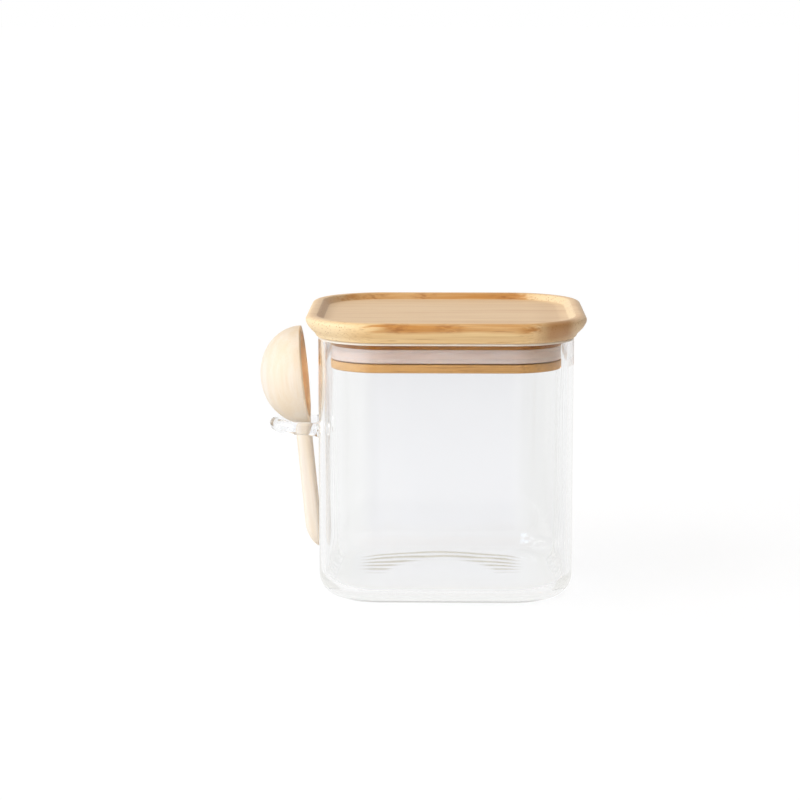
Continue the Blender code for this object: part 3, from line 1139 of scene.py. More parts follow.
def combined(piece: bpy.types.Object, other: bpy.types.Object, operation: str) -> bpy.types.Object:
    """Joins a piece with another, or cuts the other from it, and keeps the result as a plain mesh.

    Args:
        piece: The piece that stays.
        other: The piece that is used up.
        operation: The Boolean's operation.

    Returns:
        The piece that stays, with its new mesh.
    """
    modifier = piece.modifiers.new("combine", "BOOLEAN")
    modifier.operation = operation
    modifier.solver = "EXACT"
    modifier.object = other
    evaluated = piece.evaluated_get(bpy.context.evaluated_depsgraph_get())
    mesh = bpy.data.meshes.new_from_object(evaluated)
    piece.modifiers.clear()
    piece.data = mesh
    bpy.data.objects.remove(other)
    return piece


def arc(centre: tuple[float, float], out: float, up: float, start: float, end: float, steps: int) -> Profile:
    """Points of a stretch of an ellipse in a profile.

    Args:
        centre: Its middle, as a half width and a height.
        out: Its radius outwards.
        up: Its radius upwards.
        start: The angle at its first point, in degrees.
        end: The angle at its last point, in degrees.
        steps: How many steps it has.

    Returns:
        The points, both ends among them.
    """
    turns = [radians(start + (end - start) * i / steps) for i in range(steps + 1)]
    return [(centre[0] + out * cos(turn), centre[1] + up * sin(turn)) for turn in turns]


def round_arc(centre: tuple[float, float], radius: float, start: float, end: float, steps: int) -> Profile:
    """Points of a stretch of a circle in a profile, as arc gives those of an ellipse."""
    return arc(centre, radius, radius, start, end, steps)


def shares(steps: int) -> list[float]:
    """Even shares from 0 to 1, both ends among them."""
    return [i / steps for i in range(steps + 1)]


def clamped(value: float) -> float:
    """A number kept from 0 to 1."""
    return min(max(value, 0), 1)


def run(start: tuple[float, float], end: tuple[float, float], step: float) -> Profile:
    """Points between two ends of a straight stretch, without the ends.

    Args:
        start: The point before the first.
        end: The point after the last.
        step: The longest distance between neighbours.

    Returns:
        The points in between.
    """
    count = max(1, round(hypot(end[0] - start[0], end[1] - start[1]) / step))
    inner = shares(count)[1:-1]
    return [(start[0] + (end[0] - start[0]) * s, start[1] + (end[1] - start[1]) * s) for s in inner]


def waves(point: Vector, size: Place) -> float:
    """Smooth noise at a point, whose waves have a real size along each axis."""
    return noise.noise(Vector([part / length for part, length in zip(point, size)]))


def settle(piece: bpy.types.Object, body: Body, slot: Slot, *nodes: str) -> None:
    """Puts a finished piece on its body, in place of any CAD nodes that it stands for.

    Args:
        piece: The piece.
        body: What it rides on.
        slot: The record's material slot; not used.
        nodes: The CAD nodes that it replaces.
    """
    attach(piece, body.value)
    if nodes:
        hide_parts(*nodes)
    LOG.info("%s: %d faces on %s", piece.name, len(piece.data.polygons), body.value)


@dataclass
class Canister:
    """The blown jar and the loop of glass rod that is melted onto its left wall."""

    outline: Outline
    finish: ClearGlass
    rim_finish: GroundGlass
    wall: float = 0.0022
    base: float = 0.0040
    base_edge: float = 0.0085
    base_steps: int = 16
    floor_edge: float = 0.0062
    floor_steps: int = 14
    foot_ring: float = 0.0360
    foot_lead: float = 0.003
    foot_slope: float = 0.008
    foot_steps: int = 6
    hollow_rise: float = 0.0005
    rim_round: float = 0.0006
    rim_steps: int = 6
    rim_height: float = 0.0009
    rim_gap: float = 0.00002
    rim_inset: float = 0.00005
    ring_step: float = 0.0022
    inside_margin: float = 0.0001
    wave_size: Place = (0.016, 0.016, 0.045)
    wave_height: float = 0.00007
    pool_size: Place = (0.006, 0.006, 0.011)
    pool_height: float = 0.00016
    pool_top: float = 0.040
    pool_start: float = 0.022
    pool_fade: float = 0.012
    rod_radius: float = 0.0027
    rod_rise: float = 0.0011
    rise_power: float = 1.5
    slot_half: float = 0.0069
    melt_depth: float = 0.00025
    foot_radius: float = 0.0047
    foot_length: float = 0.0034
    foot_depth: float = 0.0009
    foot_flare: int = 3
    melt_steps: int = 12
    straight_steps: int = 4
    bend_steps: int = 32
    rod_sides: int = 40
    wobble: float = 0.00088
    wobble_middle: float = 0.62
    wobble_length: float = 0.005
    wobble_seed: float = 3.0

    def profile(self, half: float, height: float) -> Profile:
        """The jar's section, from the middle of its underside to the middle of its floor.

        Args:
            half: The jar's outer half width.
            height: The jar's height.

        Returns:
            The section.
        """
        mouth = half - self.wall
        edge = (half - self.base_edge, self.base_edge)
        corner = (mouth - self.floor_edge, self.base + self.floor_edge)
        start = self.foot_ring - self.foot_lead
        points = [(0.0, self.hollow_rise)]
        points += run((0.0, self.hollow_rise), (start, self.hollow_rise), self.ring_step)
        for share in shares(self.foot_steps):
            points.append((start + self.foot_slope * share, self.hollow_rise * (1 + cos(pi * share)) / 2))
        points += round_arc(edge, self.base_edge, -90, 0, self.base_steps)
        points += run(points[-1], (half, height), self.ring_step)
        points += [(half, height), (mouth, height)]
        points += run(points[-1], (mouth, corner[1]), self.ring_step)
        points += round_arc(corner, self.floor_edge, 0, -90, self.floor_steps)
        points += run(points[-1], (0.0, self.base), self.ring_step)
        return points + [(0.0, self.base)]

    def rim_profile(self, half: float, height: float) -> Profile:
        """The closed section of the ground rim on top of the jar's wall.

        Args:
            half: The jar's outer half width.
            height: The jar's height.

        Returns:
            The section, whose last point is its first.
        """
        outer, inner = half - self.rim_inset, half - self.wall + self.rim_inset
        bottom = height - self.rim_height + self.rim_gap
        soft = self.rim_round
        points = [(inner, bottom), (outer, bottom)]
        points += round_arc((outer - soft, height - soft), soft, 0, 90, self.rim_steps)
        points += round_arc((inner + soft, height - soft), soft, 90, 180, self.rim_steps)
        return points + [points[0]]

    def make_uneven(self, jar: bpy.types.Object) -> None:
        """Gives the inside of the jar the slow waves of blown glass, and small ones low in its corners.

        Args:
            jar: The jar, before the loop is joined to it.
        """
        vertices = jar.data.vertices
        mouth = max(vertex.co.x for vertex in vertices) - self.wall
        for vertex in vertices:
            x, y, z = vertex.co
            if max(abs(x), abs(y)) < mouth + self.inside_margin and z > self.base:
                sway = waves(vertex.co, self.wave_size) * self.wave_height
                low = clamped((self.pool_top - z) / self.pool_top)
                corner = clamped((min(abs(x), abs(y)) - self.pool_start) / self.pool_fade)
                pool = waves(vertex.co, self.pool_size) * self.pool_height
                vertex.co -= vertex.normal * (sway + pool * low * corner)

    def loop_path(self, low: Vector, high: Vector) -> list[tuple[Vector, float]]:
        """The middle line of the loop's rod, foot to foot.

        Args:
            low: The lowest corner of the loop's CAD node.
            high: Its highest corner.

        Returns:
            Points along the rod, each with the rod's radius there.
        """
        half = self.slot_half + self.rod_radius
        level = high.z - self.rod_rise - self.rod_radius
        wall_x = high.x + self.melt_depth
        reach = wall_x - low.x
        bend_x = low.x + self.rod_radius + half
        start = wall_x + self.foot_depth
        foot_x = wall_x - self.foot_length
        path = []
        for share in shares(self.melt_steps):
            x = start + (foot_x - start) * share
            swell = clamped((x - foot_x) / self.foot_length) ** self.foot_flare
            radius = self.rod_radius + (self.foot_radius - self.rod_radius) * swell
            path.append((Vector((x, -half, 0.0)), radius))
        straight = path[-1][0].x - bend_x
        for share in shares(self.straight_steps)[1:-1]:
            path.append((Vector((bend_x + straight * (1 - share), -half, 0.0)), self.rod_radius))
        side = [(Vector((point.x, -point.y, 0.0)), radius) for point, radius in reversed(path)]
        for share in shares(self.bend_steps):
            turn = -QUARTER_TURN - pi * share
            path.append((Vector((bend_x + half * cos(turn), half * sin(turn), 0.0)), self.rod_radius))
        path += side
        for point, _ in path:
            share = clamped((wall_x - point.x) / reach)
            point.z = level + self.rod_rise * share**self.rise_power
        return path

    def rod_tree(self) -> bpy.types.NodeTree:
        """The Geometry Nodes tree that draws a slightly uneven rod along a curve.

        Returns:
            The tree.
        """
        inputs = {"Path": "Object", "Finish": "Material", "Sides": "Int"}
        inputs |= dict.fromkeys(("Wobble", "Wobble Middle", "Wobble Length", "Seed"), "Float")
        graph, given = new_growth("glass_rod", inputs)
        path = graph.put("GeometryNodeObjectInfo", {"Object": given["Path"]}).outputs["Geometry"]
        ring = graph.put("GeometryNodeCurvePrimitiveCircle", {"Resolution": given["Sides"], "Radius": 1.0})
        inputs = {"Curve": path, "Profile Curve": ring.outputs[0], "Fill Caps": True}
        inputs["Scale"] = graph.put("GeometryNodeInputRadius").outputs[0]
        rod = graph.put("GeometryNodeCurveToMesh", inputs).outputs[0]
        place = graph.put("GeometryNodeInputPosition").outputs[0]
        place = graph.scaled(place, graph.over(1.0, given["Wobble Length"]))
        inputs = {"Vector": place, "W": given["Seed"], "Scale": 1.0, "Detail": 1.0}
        wave = graph.put("ShaderNodeTexNoise", inputs, noise_dimensions="4D").outputs[0]
        size = graph.times(graph.minus(wave, given["Wobble Middle"]), given["Wobble"])
        offset = graph.scaled(graph.put("GeometryNodeInputNormal").outputs[0], size)
        uneven = graph.put("GeometryNodeSetPosition", {"Geometry": rod, "Offset": offset})
        return end_growth(graph, uneven.outputs[0], given["Finish"])

    def make_loop(self, glass: bpy.types.Material) -> bpy.types.Object:
        """The loop, whose feet reach a little way into the wall.

        Args:
            glass: The loop's material.

        Returns:
            The loop.
        """
        path = self.loop_path(*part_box("scoop_loop"))
        curve = bpy.data.curves.new("loop_path", "CURVE")
        curve.dimensions = "3D"
        spline = curve.splines.new("POLY")
        spline.points.add(len(path) - 1)
        for point, (place, radius) in zip(spline.points, path):
            point.co = (*place, 1)
            point.radius = radius
        inputs = {
            "Path": bpy.data.objects.new("loop_path", curve),
            "Finish": glass,
            "Sides": self.rod_sides,
            "Wobble": self.wobble,
            "Wobble Middle": self.wobble_middle,
            "Wobble Length": self.wobble_length,
            "Seed": self.wobble_seed,
        }
        return grown("loop", self.rod_tree(), inputs)

    def build(self) -> None:
        """Makes the jar and its loop as one melted body of glass."""
        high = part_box("glass_jar")[1]
        glass = self.finish.material()
        jar = self.outline.carry("canister_glass", self.profile(high.x, high.z - self.rim_height), glass)
        self.make_uneven(jar)
        jar = combined(jar, self.make_loop(glass), "UNION")
        faces_out(jar)
        settle(jar, Body.JAR, Slot.GLASS, "glass_jar", "scoop_loop")
        section = self.rim_profile(high.x, high.z)
        rim = self.outline.carry("canister_rim", section, self.rim_finish.material())
        settle(rim, Body.JAR, Slot.GLASS)


@dataclass
class Lid:
    """The bamboo board with its plug, and the silicone ring in the plug's groove."""

    outline: Outline
    bamboo: Bamboo
    plug_bamboo: Bamboo
    silicone: Silicone
    lip_silicone: Silicone
    flat_step: float = 0.006
    foot_overhang: float = 0.0010
    foot_radius: float = 0.0009
    foot_end: float = -20.0
    jar_half: float = 0.050
    taper_bend: float = 1.7
    taper_steps: int = 14
    edge_width: float = 0.0027
    edge_drop: float = 0.0017
    edge_steps: int = 12
    crest_width: float = 0.0016
    crest_drop: float = 0.0001
    tray_depth: float = 0.0025
    tray_slope: float = 0.0025
    tray_bend: float = 1.3
    tray_steps: int = 14
    tray_step: float = 0.004
    seat_gap: float = 0.00005
    glue_gap: float = 0.00002
    top_inset: float = 0.004
    groove_depth: float = 0.0034
    groove_below: float = 0.0003
    neck_height: float = 0.0030
    edge_radius: float = 0.0006
    round_steps: int = 5
    small_steps: int = 3
    seal_gap: float = 0.0001
    seal_lift: float = 0.0001
    seal_hollow: float = 0.00015
    hollow_half: float = 0.0012
    seal_round: float = 0.0005
    seal_round_end: float = 15.0
    seal_steps: int = 4
    lip_sink: float = 0.0004
    lip_reach: float = 0.0024
    lip_root: float = 0.0006
    lip_tip: float = 0.0004
    lip_tip_end: float = 75.0
    lip_rise: float = 0.0009
    lip_bend: float = 1.7
    lip_steps: int = 6
    low_lip: float = 0.0009
    high_lip: float = 0.0021

    def board_profile(self, low: Vector, high: Vector, rest: float) -> Profile:
        """The board's section, from the middle of its underside to the middle of its tray.

        Args:
            low: The lowest corner of the board's CAD node.
            high: Its highest corner.
            rest: The height that the board's underside rests at.

        Returns:
            The section.
        """
        foot = self.jar_half + self.foot_overhang
        shoulder = high.z - self.edge_drop
        foot_top = low.z + self.foot_radius
        crest = high.x - self.edge_width
        radius = self.foot_radius
        points = [(0.0, rest)] + run((0.0, rest), (foot - radius, rest), self.flat_step)
        points += round_arc((foot - radius, rest + radius), radius, -90, self.foot_end, self.round_steps)
        for share in shares(self.taper_steps)[1:-1]:
            out = high.x + (foot - high.x) * (1 - share) ** self.taper_bend
            points.append((out, shoulder + (foot_top - shoulder) * (1 - share)))
        points += arc((crest, shoulder), self.edge_width, self.edge_drop, 0, 90, self.edge_steps)
        inside = crest - self.crest_width
        floor = high.z - self.tray_depth
        top = high.z - self.crest_drop
        for share in shares(self.tray_steps):
            deep = share**self.tray_bend
            fall = deep / (deep + (1 - share) ** self.tray_bend)
            level = top + (floor - high.z + self.crest_drop) * fall
            points.append((inside - self.tray_slope * share, level))
        points += run(points[-1], (0.0, floor), self.tray_step)
        return points + [(0.0, floor)]

    def plug_profile(self, low: Vector, high: Vector, groove: tuple[float, float], top: float) -> Profile:
        """The plug's section, from the middle of its underside to the middle of its top.

        Args:
            low: The lowest corner of the plug's CAD node.
            high: Its highest corner.
            groove: The groove's lower and upper height.
            top: The height at which the plug meets the board.

        Returns:
            The section.
        """
        half, radius = high.x, self.edge_radius
        root = half - self.groove_depth
        soft = radius / 2
        points = [(0.0, low.z)] + run((0.0, low.z), (half - radius, low.z), self.flat_step)
        points += round_arc((half - radius, low.z + radius), radius, -90, 0, self.round_steps)
        points += round_arc((half - soft, groove[0] - soft), soft, 0, 90, self.small_steps)
        points += [(root, groove[0]), (root, groove[1])]
        points += round_arc((half - soft, groove[1] + soft), soft, -90, 0, self.small_steps)
        points += [(half, top), (half - self.top_inset, top)]
        return points + run(points[-1], (0.0, top), self.flat_step) + [(0.0, top)]

    def lip(self, root: tuple[float, float], tip_half: float) -> Profile:
        """One raised lip of the seal, from its lower root round its tip to its upper root.

        Args:
            root: The half width and height of the lower root.
            tip_half: The half width that the tip reaches.

        Returns:
            The section's stretch.
        """
        soft = self.lip_tip / 2
        reach = tip_half - root[0] - soft
        rise = self.lip_rise + self.lip_root - self.lip_tip
        steps = shares(self.lip_steps)
        points = [(root[0] + reach * share, root[1] + rise * share**self.lip_bend) for share in steps]
        tip = (points[-1][0], points[-1][1] + soft)
        points += round_arc(tip, soft, -self.lip_tip_end, self.lip_tip_end, self.seal_steps)
        for share in steps:
            back = 1 - share
            level = root[1] + self.lip_root + self.lip_rise * back**self.lip_bend
            points.append((root[0] + reach * back, level))
        return points

    def seal_profile(self, low: Vector, high: Vector, plug_half: float) -> Profile:
        """The closed section of the seal's body.

        Args:
            low: The lowest corner of the seal's CAD node.
            high: Its highest corner.
            plug_half: The plug's half width.

        Returns:
            The section, whose last point is its first.
        """
        inner = plug_half - self.groove_depth + self.seal_gap
        outer = plug_half - self.seal_gap
        bottom = low.z + self.seal_lift
        middle = (bottom + high.z) / 2
        soft, end, steps = self.seal_round, self.seal_round_end, self.seal_steps
        waist = outer - self.seal_hollow
        points = [(inner, high.z), (inner, bottom)]
        points += round_arc((outer - soft, bottom + soft), soft, -90, -end, steps)
        points += [(waist, middle - self.hollow_half), (waist, middle + self.hollow_half)]
        points += round_arc((outer - soft, high.z - soft), soft, end, 90, steps)
        return points + [points[0]]

    def lips_profile(self, root_z: float, plug_half: float) -> Profile:
        """The closed section of one thin lip, which starts inside the seal's body.

        Args:
            root_z: The height of the lip's root.
            plug_half: The plug's half width.

        Returns:
            The section, whose last point is its first.
        """
        outer = plug_half - self.seal_gap
        root = outer - self.lip_sink
        points = [(root, root_z + self.lip_root), (root, root_z)]
        points += self.lip((outer, root_z), outer + self.lip_reach)
        return points + [points[0]]

    def add(self, name: str, section: Profile, finish: bpy.types.Material, slot: Slot, *nodes: str) -> None:
        """Adds one piece to the lid.

        Args:
            name: The piece's name.
            section: Its section, which is carried round the outline.
            finish: Its material.
            slot: The record's material slot.
            nodes: The CAD nodes that it replaces.
        """
        settle(self.outline.carry(name, section, finish), Body.LID, slot, *nodes)

    def build(self) -> None:
        """Makes the board, the plug and the seal."""
        jar_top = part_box("glass_jar")[1].z
        board_low, board_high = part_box("lid_board")
        plug_low, plug_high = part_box("lid_plug")
        seal_low, seal_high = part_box("seal_ring")
        rest = jar_top + self.seat_gap
        section = self.board_profile(board_low, board_high, rest)
        self.add("lid_board_detail", section, self.bamboo.material(), Slot.BAMBOO, "lid_board")
        groove = (seal_low.z - self.groove_below, plug_high.z - self.neck_height)
        section = self.plug_profile(plug_low, plug_high, groove, rest - self.glue_gap)
        self.add("lid_plug_detail", section, self.plug_bamboo.material(), Slot.BAMBOO, "lid_plug")
        section = self.seal_profile(seal_low, seal_high, plug_high.x)
        self.add("seal_ring_detail", section, self.silicone.material(), Slot.SILICONE, "seal_ring")
        film = self.lip_silicone.material()
        for name, height in (("lower", seal_low.z + self.low_lip), ("upper", seal_high.z - self.high_lip)):
            self.add(f"seal_lip_{name}", self.lips_profile(height, plug_high.x), film, Slot.SILICONE)


@dataclass
class Scoop:
    """The one-piece wooden scoop, in its own frame: Z up the handle and -X into the bowl's back."""

    length: float = 0.0904
    lean: float = radians(5.5)
    tip: Place = (-0.049585, 0.0, 0.01365)
    bowl_radius: float = 0.0197
    bowl_depth: float = 0.0182
    bowl_wall: float = 0.0033
    bowl_fullness: float = 2.1
    rim_edge: float = 0.0010
    rim_share: float = 1 / 3
    rim_squareness: float = 5.0
    back_squareness: float = 2.0
    handle_squareness: float = 2.9
    handle_thickness: float = 0.0063
    handle_width: float = 0.0086
    end_width: float = 0.0092
    end_length: float = 0.0092
    end_skew: float = 0.0010
    end_curve: tuple[float, float] = (2.5, 0.5)
    end_taper: tuple[float, float] = (1.6, 0.65)
    end_steps: int = 22
    handle_steps: int = 14
    bowl_steps: int = 64
    join_sharpness: float = 9.0
    inner_round: float = 0.0009
    cutter_flare: Range = (2.0, 1.2)
    cutter_lip: Range = (0.0002, 0.97)
    round_shift: Range = (0.12, 0.9)
    round_steps: int = 7
    hollow_steps: int = 30
    crease: float = 50.0
    around: int = 72

    def larger(self, first: float, second: float) -> float:
        """The larger of two sizes, rounded over where they are alike."""
        power = self.join_sharpness
        return (first**power + second**power) ** (1 / power)

    def section(self, height: float) -> tuple[float, float, float, float]:
        """The outer shape at one height above the tip.

        Args:
            height: The height.

        Returns:
            The half width, and how far back the front, the widest line and the back lie.
        """
        middle = self.length - self.bowl_radius
        share = clamped(abs(height - middle) / self.bowl_radius)
        bowl_half = self.bowl_radius * (1 - share**2) ** 0.5
        bowl_back = self.bowl_depth * (1 - share**self.bowl_fullness) ** (1 / self.bowl_fullness)
        if height > middle:
            return bowl_half, 0, min(self.rim_edge, bowl_back * self.rim_share), bowl_back
        into_end = clamped(1 - height / self.end_length)
        along = clamped(height / (middle - self.bowl_radius))
        width = self.end_width + (self.handle_width - self.end_width) * along
        (curve, root), (taper, thin) = self.end_curve, self.end_taper
        width *= (1 - into_end**curve) ** root
        thickness = self.handle_thickness * (1 - into_end**taper) ** thin
        front = self.end_skew * into_end**2
        fold = clamped((bowl_half - width / 2) / width)
        deep = front + thickness / 2
        widest = deep + (self.rim_edge - deep) * fold
        return self.larger(bowl_half, width / 2), front, widest, self.larger(bowl_back, front + thickness)

    def heights(self) -> list[float]:
        """The levels of the rings, closer together where the outline turns fastest.

        Returns:
            The levels, from the tip up.
        """
        middle = self.length - self.bowl_radius
        neck = middle - self.bowl_radius
        end, handle, bowl = self.end_steps, self.handle_steps, self.bowl_steps
        levels = [self.end_length * (1 - cos(QUARTER_TURN * i / end)) for i in range(1, end + 1)]
        levels += [self.end_length + (neck - self.end_length) * i / handle for i in range(1, handle)]
        return levels + [middle - self.bowl_radius * cos(pi * i / bowl) for i in range(bowl)]

    def make_blank(self) -> bmesh.types.BMesh:
        """The scoop's outer shape, before its bowl is hollowed.

        Returns:
            The closed shape.
        """
        mesh = bmesh.new()
        rings = []
        for height in self.heights():
            half, front, widest, back = self.section(height)
            bowl = clamped((half - self.handle_width / 2) / self.handle_width)
            ring = []
            for i in range(self.around):
                turn = tau * i / self.around
                behind = sin(turn) > 0
                power = self.back_squareness if behind else self.rim_squareness
                power = self.handle_squareness + (power - self.handle_squareness) * bowl
                side = abs(cos(turn)) ** (2 / power) * (1 if cos(turn) > 0 else -1)
                deep = abs(sin(turn)) ** (2 / power) * (back - widest if behind else front - widest)
                ring.append(mesh.verts.new((-widest - deep, half * side, height)))
            rings.append(ring)
        ends = (mesh.verts.new((-self.end_skew, 0, 0)), mesh.verts.new((0, 0, self.length)))
        self.skin(mesh, rings, ends)
        return mesh

    def make_hollow(self) -> bmesh.types.BMesh:
        """The shape that hollows the bowl and rounds its inner rim.

        Returns:
            The closed shape.
        """
        mesh = bmesh.new()
        middle = self.length - self.bowl_radius
        radius = self.bowl_radius - self.bowl_wall
        depth = self.bowl_depth - self.bowl_wall
        soft = self.inner_round
        (above, flare), (edge, lip) = self.cutter_flare, self.cutter_lip
        shift, spread = self.round_shift
        reach = [(soft * above, radius + soft * flare), (edge, radius + soft * lip)]
        for i in range(1, self.round_steps + 1):
            turn = QUARTER_TURN * i / self.round_steps
            reach.append((-soft * sin(turn) + soft * shift, radius + soft * (1 - sin(turn)) * spread))
        for i in range(1, self.hollow_steps):
            rise = QUARTER_TURN * i / self.hollow_steps
            reach.append((-soft - (depth - soft) * sin(rise), radius * cos(rise)))
        rings = []
        for x, size in reach:
            turns = [tau * i / self.around for i in range(self.around)]
            rings.append([mesh.verts.new((x, size * cos(t), middle + size * sin(t))) for t in turns])
        ends = (mesh.verts.new((soft * above, 0, middle)), mesh.verts.new((-depth, 0, middle)))
        self.skin(mesh, rings, ends)
        return mesh

    def skin(self, mesh: bmesh.types.BMesh, rings: list, ends: tuple) -> None:
        """Covers a row of rings with faces, and closes it to a point at each end.

        Args:
            mesh: What the rings belong to.
            rings: The rings, in order, with as many points each.
            ends: The points past the first and the last ring.
        """
        for first, second in zip(rings, rings[1:]):
            for i in range(len(first)):
                mesh.faces.new((first[i - 1], first[i], second[i], second[i - 1]))
        for ring, end in zip((rings[0], rings[-1]), ends):
            for i in range(len(ring)):
                mesh.faces.new((ring[i - 1], ring[i], end))
        bmesh.ops.recalc_face_normals(mesh, faces=mesh.faces)

    def as_object(self, name: str, mesh: bmesh.types.BMesh) -> bpy.types.Object:
        """Turns a sketched shape into an object, leaning as the scoop hangs.

        Args:
            name: The object's name.
            mesh: The shape, which is freed.

        Returns:
            The object, at the origin, with its place in its mesh.
        """
        mesh.transform(Matrix.Translation(self.tip) @ Matrix.Rotation(-self.lean, 4, "Y"))
        data = bpy.data.meshes.new(name)
        mesh.to_mesh(data)
        mesh.free()
        thing = bpy.data.objects.new(name, data)
        bpy.context.collection.objects.link(thing)
        return thing

    def build(self) -> None:
        """Makes the scoop."""
        scoop = self.as_object("wooden_scoop_detail", self.make_blank())
        scoop.data.materials.append(PaleWood("pale_wood_grain", self.lean).material())
        scoop = combined(scoop, self.as_object("bowl_hollow", self.make_hollow()), "DIFFERENCE")
        faces_out(scoop, self.crease)
        settle(scoop, Body.SCOOP, Slot.PALE_WOOD, "wooden_scoop")


@dataclass(frozen=True)
class Spot:
    """A soft spot lamp: its power in watts, its cone in degrees, and the radius that softens it."""

    name: str
    place: Place
    target: Place
    power: float
    cone: float
    radius: float


@dataclass
class Stage:
    """The white table, the soft studio light and the camera."""

    camera_place: Place = (0.0006031, -0.9880535, 0.2277861)
    camera_down: float = 8.874
    camera_left: float = 1.107
    focal_share: float = 3.10365
    sensor: float = 36.0
    clip_start: float = 0.05
    table_half: float = 40.0
    table_drop: float = -0.0001
    table_colour: Colour = (0.95, 0.95, 0.95)
    table_glow: float = 0.75
    table_gloss: float = 0.9
    table_white: float = 1.1
    near_table: Range = (0.11, 0.24)
    dim_table: Range = (-0.30, -0.55)
    glass_front: float = 0.12
    sky_turn: float = 0.35
    sky_levels: Range = (-0.8, 0.6)
    sky_left: float = 0.86
    sky_right: float = 0.06
    top_levels: Range = (0.2, 0.9)
    sky_top: float = 0.27
    warm_levels: Range = (-0.6, 0.6)
    cool: Colour = (0.96, 0.98, 1.0)
    fill: Colour = (1.0, 0.82, 0.64)
    room_levels: Range = (35.0, 125.0)
    room_front: float = 0.08
    windows: tuple[Place, ...] = ((-62.0, 48.0, 1.6), (-7.0, 5.0, 0.3), (14.0, 7.0, 0.35))
    window_core: float = 0.5
    front_loss: float = 0.7
    front_levels: Range = (-0.1, -0.7)
    target: Place = (0.0, 0.0, 0.06)
    sun: float = 1.06
    sun_colour: Colour = (0.97, 1.0, 1.06)
    sun_place: Place = (-0.72, -0.42, 0.68)
    sun_angle: float = 40.0
    panel_power: float = 4.2
    panel_colour: Colour = (0.78, 1.0, 1.35)
    panel_place: Place = (-1.0, -0.95, 0.3)
    panel_size: tuple[float, float] = (0.5, 0.6)
    spot_colour: Colour = (1.0, 0.88, 0.74)
    spots: tuple[Spot, ...] = (
        Spot("scoop_fill", (0.35, -0.7, 0.12), (-0.085, 0.0, 0.065), 9.0, 11.0, 0.08),
        Spot("bowl_fill", (1.0, -0.2, 0.03), (-0.06, 0.0, 0.087), 12.5, 2.4, 0.008),
    )
    bounces: int = 128

    def set_camera(self) -> None:
        """Puts the camera where the photograph was taken from."""
        data = bpy.data.cameras.new("camera")
        data.sensor_width = self.sensor
        data.lens = self.sensor * self.focal_share
        data.clip_start = self.clip_start
        camera = bpy.data.objects.new("camera", data)
        camera.location = self.camera_place
        camera.rotation_euler = (radians(90 - self.camera_down), 0, radians(self.camera_left))
        bpy.context.collection.objects.link(camera)
        bpy.context.scene.camera = camera

    def seen(self, graph: Graph) -> tuple[Socket, Socket]:
        """Masks of the rays that show the background.

        Args:
            graph: The graph to read them in.

        Returns:
            A mask of the rays from the camera or through glass, and one of those off a gloss.
        """
        path = graph.put("ShaderNodeLightPath").outputs
        plain = graph.math("MAXIMUM", path["Is Camera Ray"], path["Is Transmission Ray"])
        gloss = graph.times(path["Is Glossy Ray"], graph.minus(1.0, plain))
        return plain, gloss

    def room(self, graph: Graph, place: Socket) -> Socket:
        """How bright the room is that a gloss shows, by the way round the object.

        Args:
            graph: The graph to work it out in.
            place: A direction, or a place on the table.

        Returns:
            The brightness: white behind the object, dim before it, with a few windows there. Each
            window has a middle and a half width, in degrees round from the front, and a power.
        """
        way = graph.axes(place)
        turn = graph.math("ARCTAN2", way["X"], graph.times(way["Y"], -1.0))
        behind = [radians(angle) for angle in self.room_levels]
        bright = graph.span(graph.size(turn), *behind, self.room_front, 1.0)
        for middle, width, power in self.windows:
            away = graph.size(graph.minus(turn, radians(middle)))
            light = graph.span(away, radians(width), radians(width * self.window_core), 0.0, power)
            bright = graph.plus(bright, light)
        return bright

    def make_sky(self) -> None:
        """Surrounds the object with soft light, brighter from the left, on a white background."""
        world = bpy.data.worlds.new("studio")
        world.use_nodes = True
        bpy.context.scene.world = world
        graph = Graph(world.node_tree)
        around = graph.put("ShaderNodeTexCoord").outputs["Generated"]
        way = graph.axes(around)
        side = graph.times_plus(way["Y"], self.sky_turn, way["X"])
        light = graph.span(side, *self.sky_levels, self.sky_left, self.sky_right)
        light = graph.plus(light, graph.span(way["Z"], *self.top_levels, 0.0, self.sky_top))
        warm = graph.span(side, *self.warm_levels)
        plain, gloss = self.seen(graph)
        # Light that has met a matt surface, such as the seal in the glass, sees a dimmer front.
        matt = graph.put("ShaderNodeLightPath").outputs["Diffuse Depth"]
        late = graph.times(graph.math("GREATER_THAN", matt, 0.5), self.front_loss)
        late = graph.times(late, graph.span(way["Y"], *self.front_levels))
        plain = graph.times(plain, graph.minus(1.0, late))
        strength = graph.blend(plain, graph.blend(gloss, light, self.room(graph, around)), 1.0)
        shown = graph.math("MAXIMUM", plain, gloss)
        colour = graph.mix(shown, graph.mix(warm, self.cool, self.fill), WHITE)
        graph.feed_all(world.node_tree.nodes["Background"], {"Color": colour, "Strength": strength})

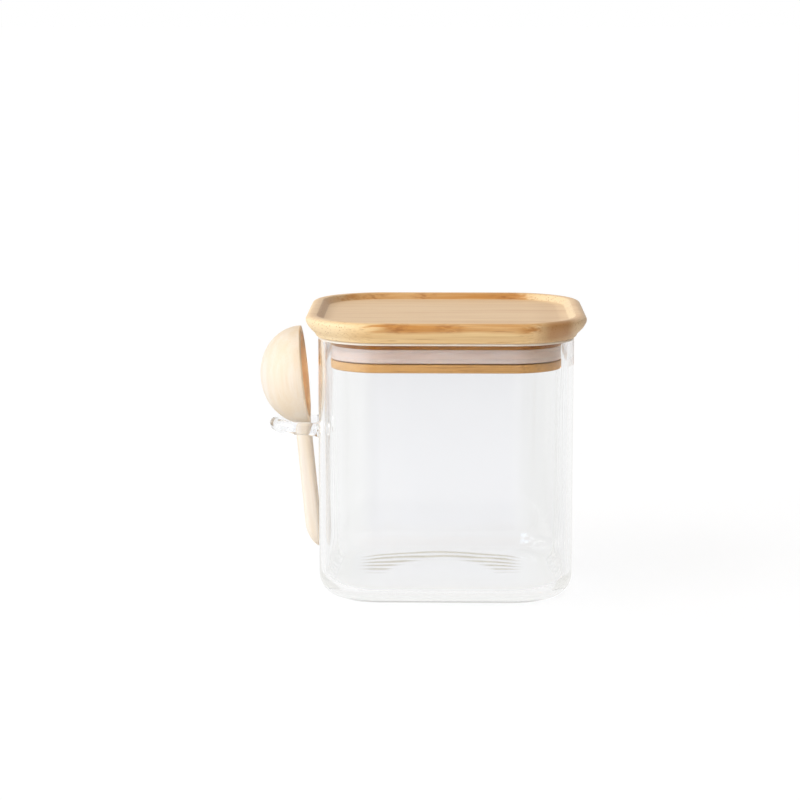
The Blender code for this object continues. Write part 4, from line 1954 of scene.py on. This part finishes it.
    def make_table(self) -> None:
        """Lays the white table, which keeps the object's shadow."""
        size = self.table_half
        mesh = bpy.data.meshes.new("table")
        corners = [(-size, -size, 0), (size, -size, 0), (size, size, 0), (-size, size, 0)]
        mesh.from_pydata(corners, [], [(0, 1, 2, 3)])
        table = bpy.data.objects.new("table", mesh)
        table.location.z = self.table_drop
        bpy.context.collection.objects.link(table)
        material, graph, shader, place = new_material("white_table")
        inputs = {"Base Color": self.table_colour, "Roughness": 1.0, "Specular IOR Level": 0.0}
        graph.feed_all(shader, inputs)
        plain, gloss = self.seen(graph)
        away = graph.put("ShaderNodeVectorMath", {0: place}, operation="LENGTH").outputs["Value"]
        near = graph.span(away, *self.near_table, 1.0, 0.0)
        room = graph.blend(near, self.room(graph, place), 1.0)
        far = graph.span(graph.axes(place)["Y"], *self.dim_table, self.table_white, self.glass_front)
        camera = graph.put("ShaderNodeLightPath").outputs["Is Camera Ray"]
        power = graph.blend(gloss, graph.blend(camera, far, self.table_white), room)
        glow = graph.put("ShaderNodeEmission", {"Color": WHITE, "Strength": power}).outputs[0]
        share = graph.times_plus(plain, self.table_glow, graph.times(gloss, self.table_gloss))
        both = graph.either(share, shader.outputs[0], glow)
        graph.feed(material.node_tree.nodes["Material Output"].inputs["Surface"], both)
        mesh.materials.append(material)

    def hang(self, data: bpy.types.Light, place: Place, target: Place) -> None:
        """Hangs a lamp in the scene. Only the sun shows in gloss.

        Args:
            data: The lamp's light.
            place: Where it hangs.
            target: The point that it faces.
        """
        lamp = bpy.data.objects.new(data.name, data)
        lamp.location = place
        lamp.visible_glossy = data.type == "SUN"
        lamp.rotation_euler = (Vector(target) - Vector(place)).to_track_quat("-Z", "Y").to_euler()
        bpy.context.collection.objects.link(lamp)

    def add_spot(self, spot: Spot) -> None:
        """Adds a soft spot lamp.

        Args:
            spot: The lamp's settings.
        """
        data = bpy.data.lights.new(spot.name, "SPOT")
        data.energy = spot.power
        data.color = self.spot_colour
        data.spot_size = radians(spot.cone)
        data.spot_blend = 1.0
        data.shadow_soft_size = spot.radius
        self.hang(data, spot.place, spot.target)

    def light(self) -> None:
        """Adds a broad key light and a panel from the left, and two spots for the scoop."""
        data = bpy.data.lights.new("key", "SUN")
        data.energy = self.sun
        data.color = self.sun_colour
        data.angle = radians(self.sun_angle)
        self.hang(data, self.sun_place, self.target)
        data = bpy.data.lights.new("left_panel", "AREA")
        data.shape = "RECTANGLE"
        data.size, data.size_y = self.panel_size
        data.energy = self.panel_power
        data.color = self.panel_colour
        self.hang(data, self.panel_place, self.target)
        for spot in self.spots:
            self.add_spot(spot)

    def build(self) -> None:
        """Sets up camera, sky, table and lamps."""
        scene = bpy.context.scene
        scene.view_settings.view_transform = "Standard"
        for kind in ("max", "glossy", "transmission", "transparent_max"):
            setattr(scene.cycles, kind + "_bounces", self.bounces)
        self.set_camera()
        self.make_sky()
        self.make_table()
        self.light()
        LOG.info("stage: camera looks %.1f degrees down", self.camera_down)


def main() -> None:
    """Builds the stage and the object."""
    logging.basicConfig(level=logging.INFO, format="%(message)s")
    Stage().build()
    SharedEffects().build()
    glass = ClearGlass("clear_glass_drawn", FloorLines())
    Canister(Outline(side_steps=26), glass, GroundGlass("ground_glass")).build()
    plug_bamboo = Bamboo(
        "bamboo_plug",
        # On the plug this height ends no layer: above it the neck gets amber strips as painted shade under
        # the board.
        seam_and_shade_height=0.0970,
        amber_front=(0.004, 0.05),
        least_amber=0.9,
        pale=linear(212, 166, 106),
        honey=linear(211, 158, 93),
        amber=linear(164, 98, 14),
        dark=linear(140, 82, 34),
        end=linear(216, 166, 104),
        gloss=0.12,
        wear=0.05,
    )
    film = Silicone("clear_silicone", linear(250, 244, 240), linear(244, 236, 230), cover=0.04, relief=0.02)
    Lid(Outline(), Bamboo("bamboo_board"), plug_bamboo, Silicone("milky_silicone"), film).build()
    Scoop().build()


if __name__ == "__main__":
    main()
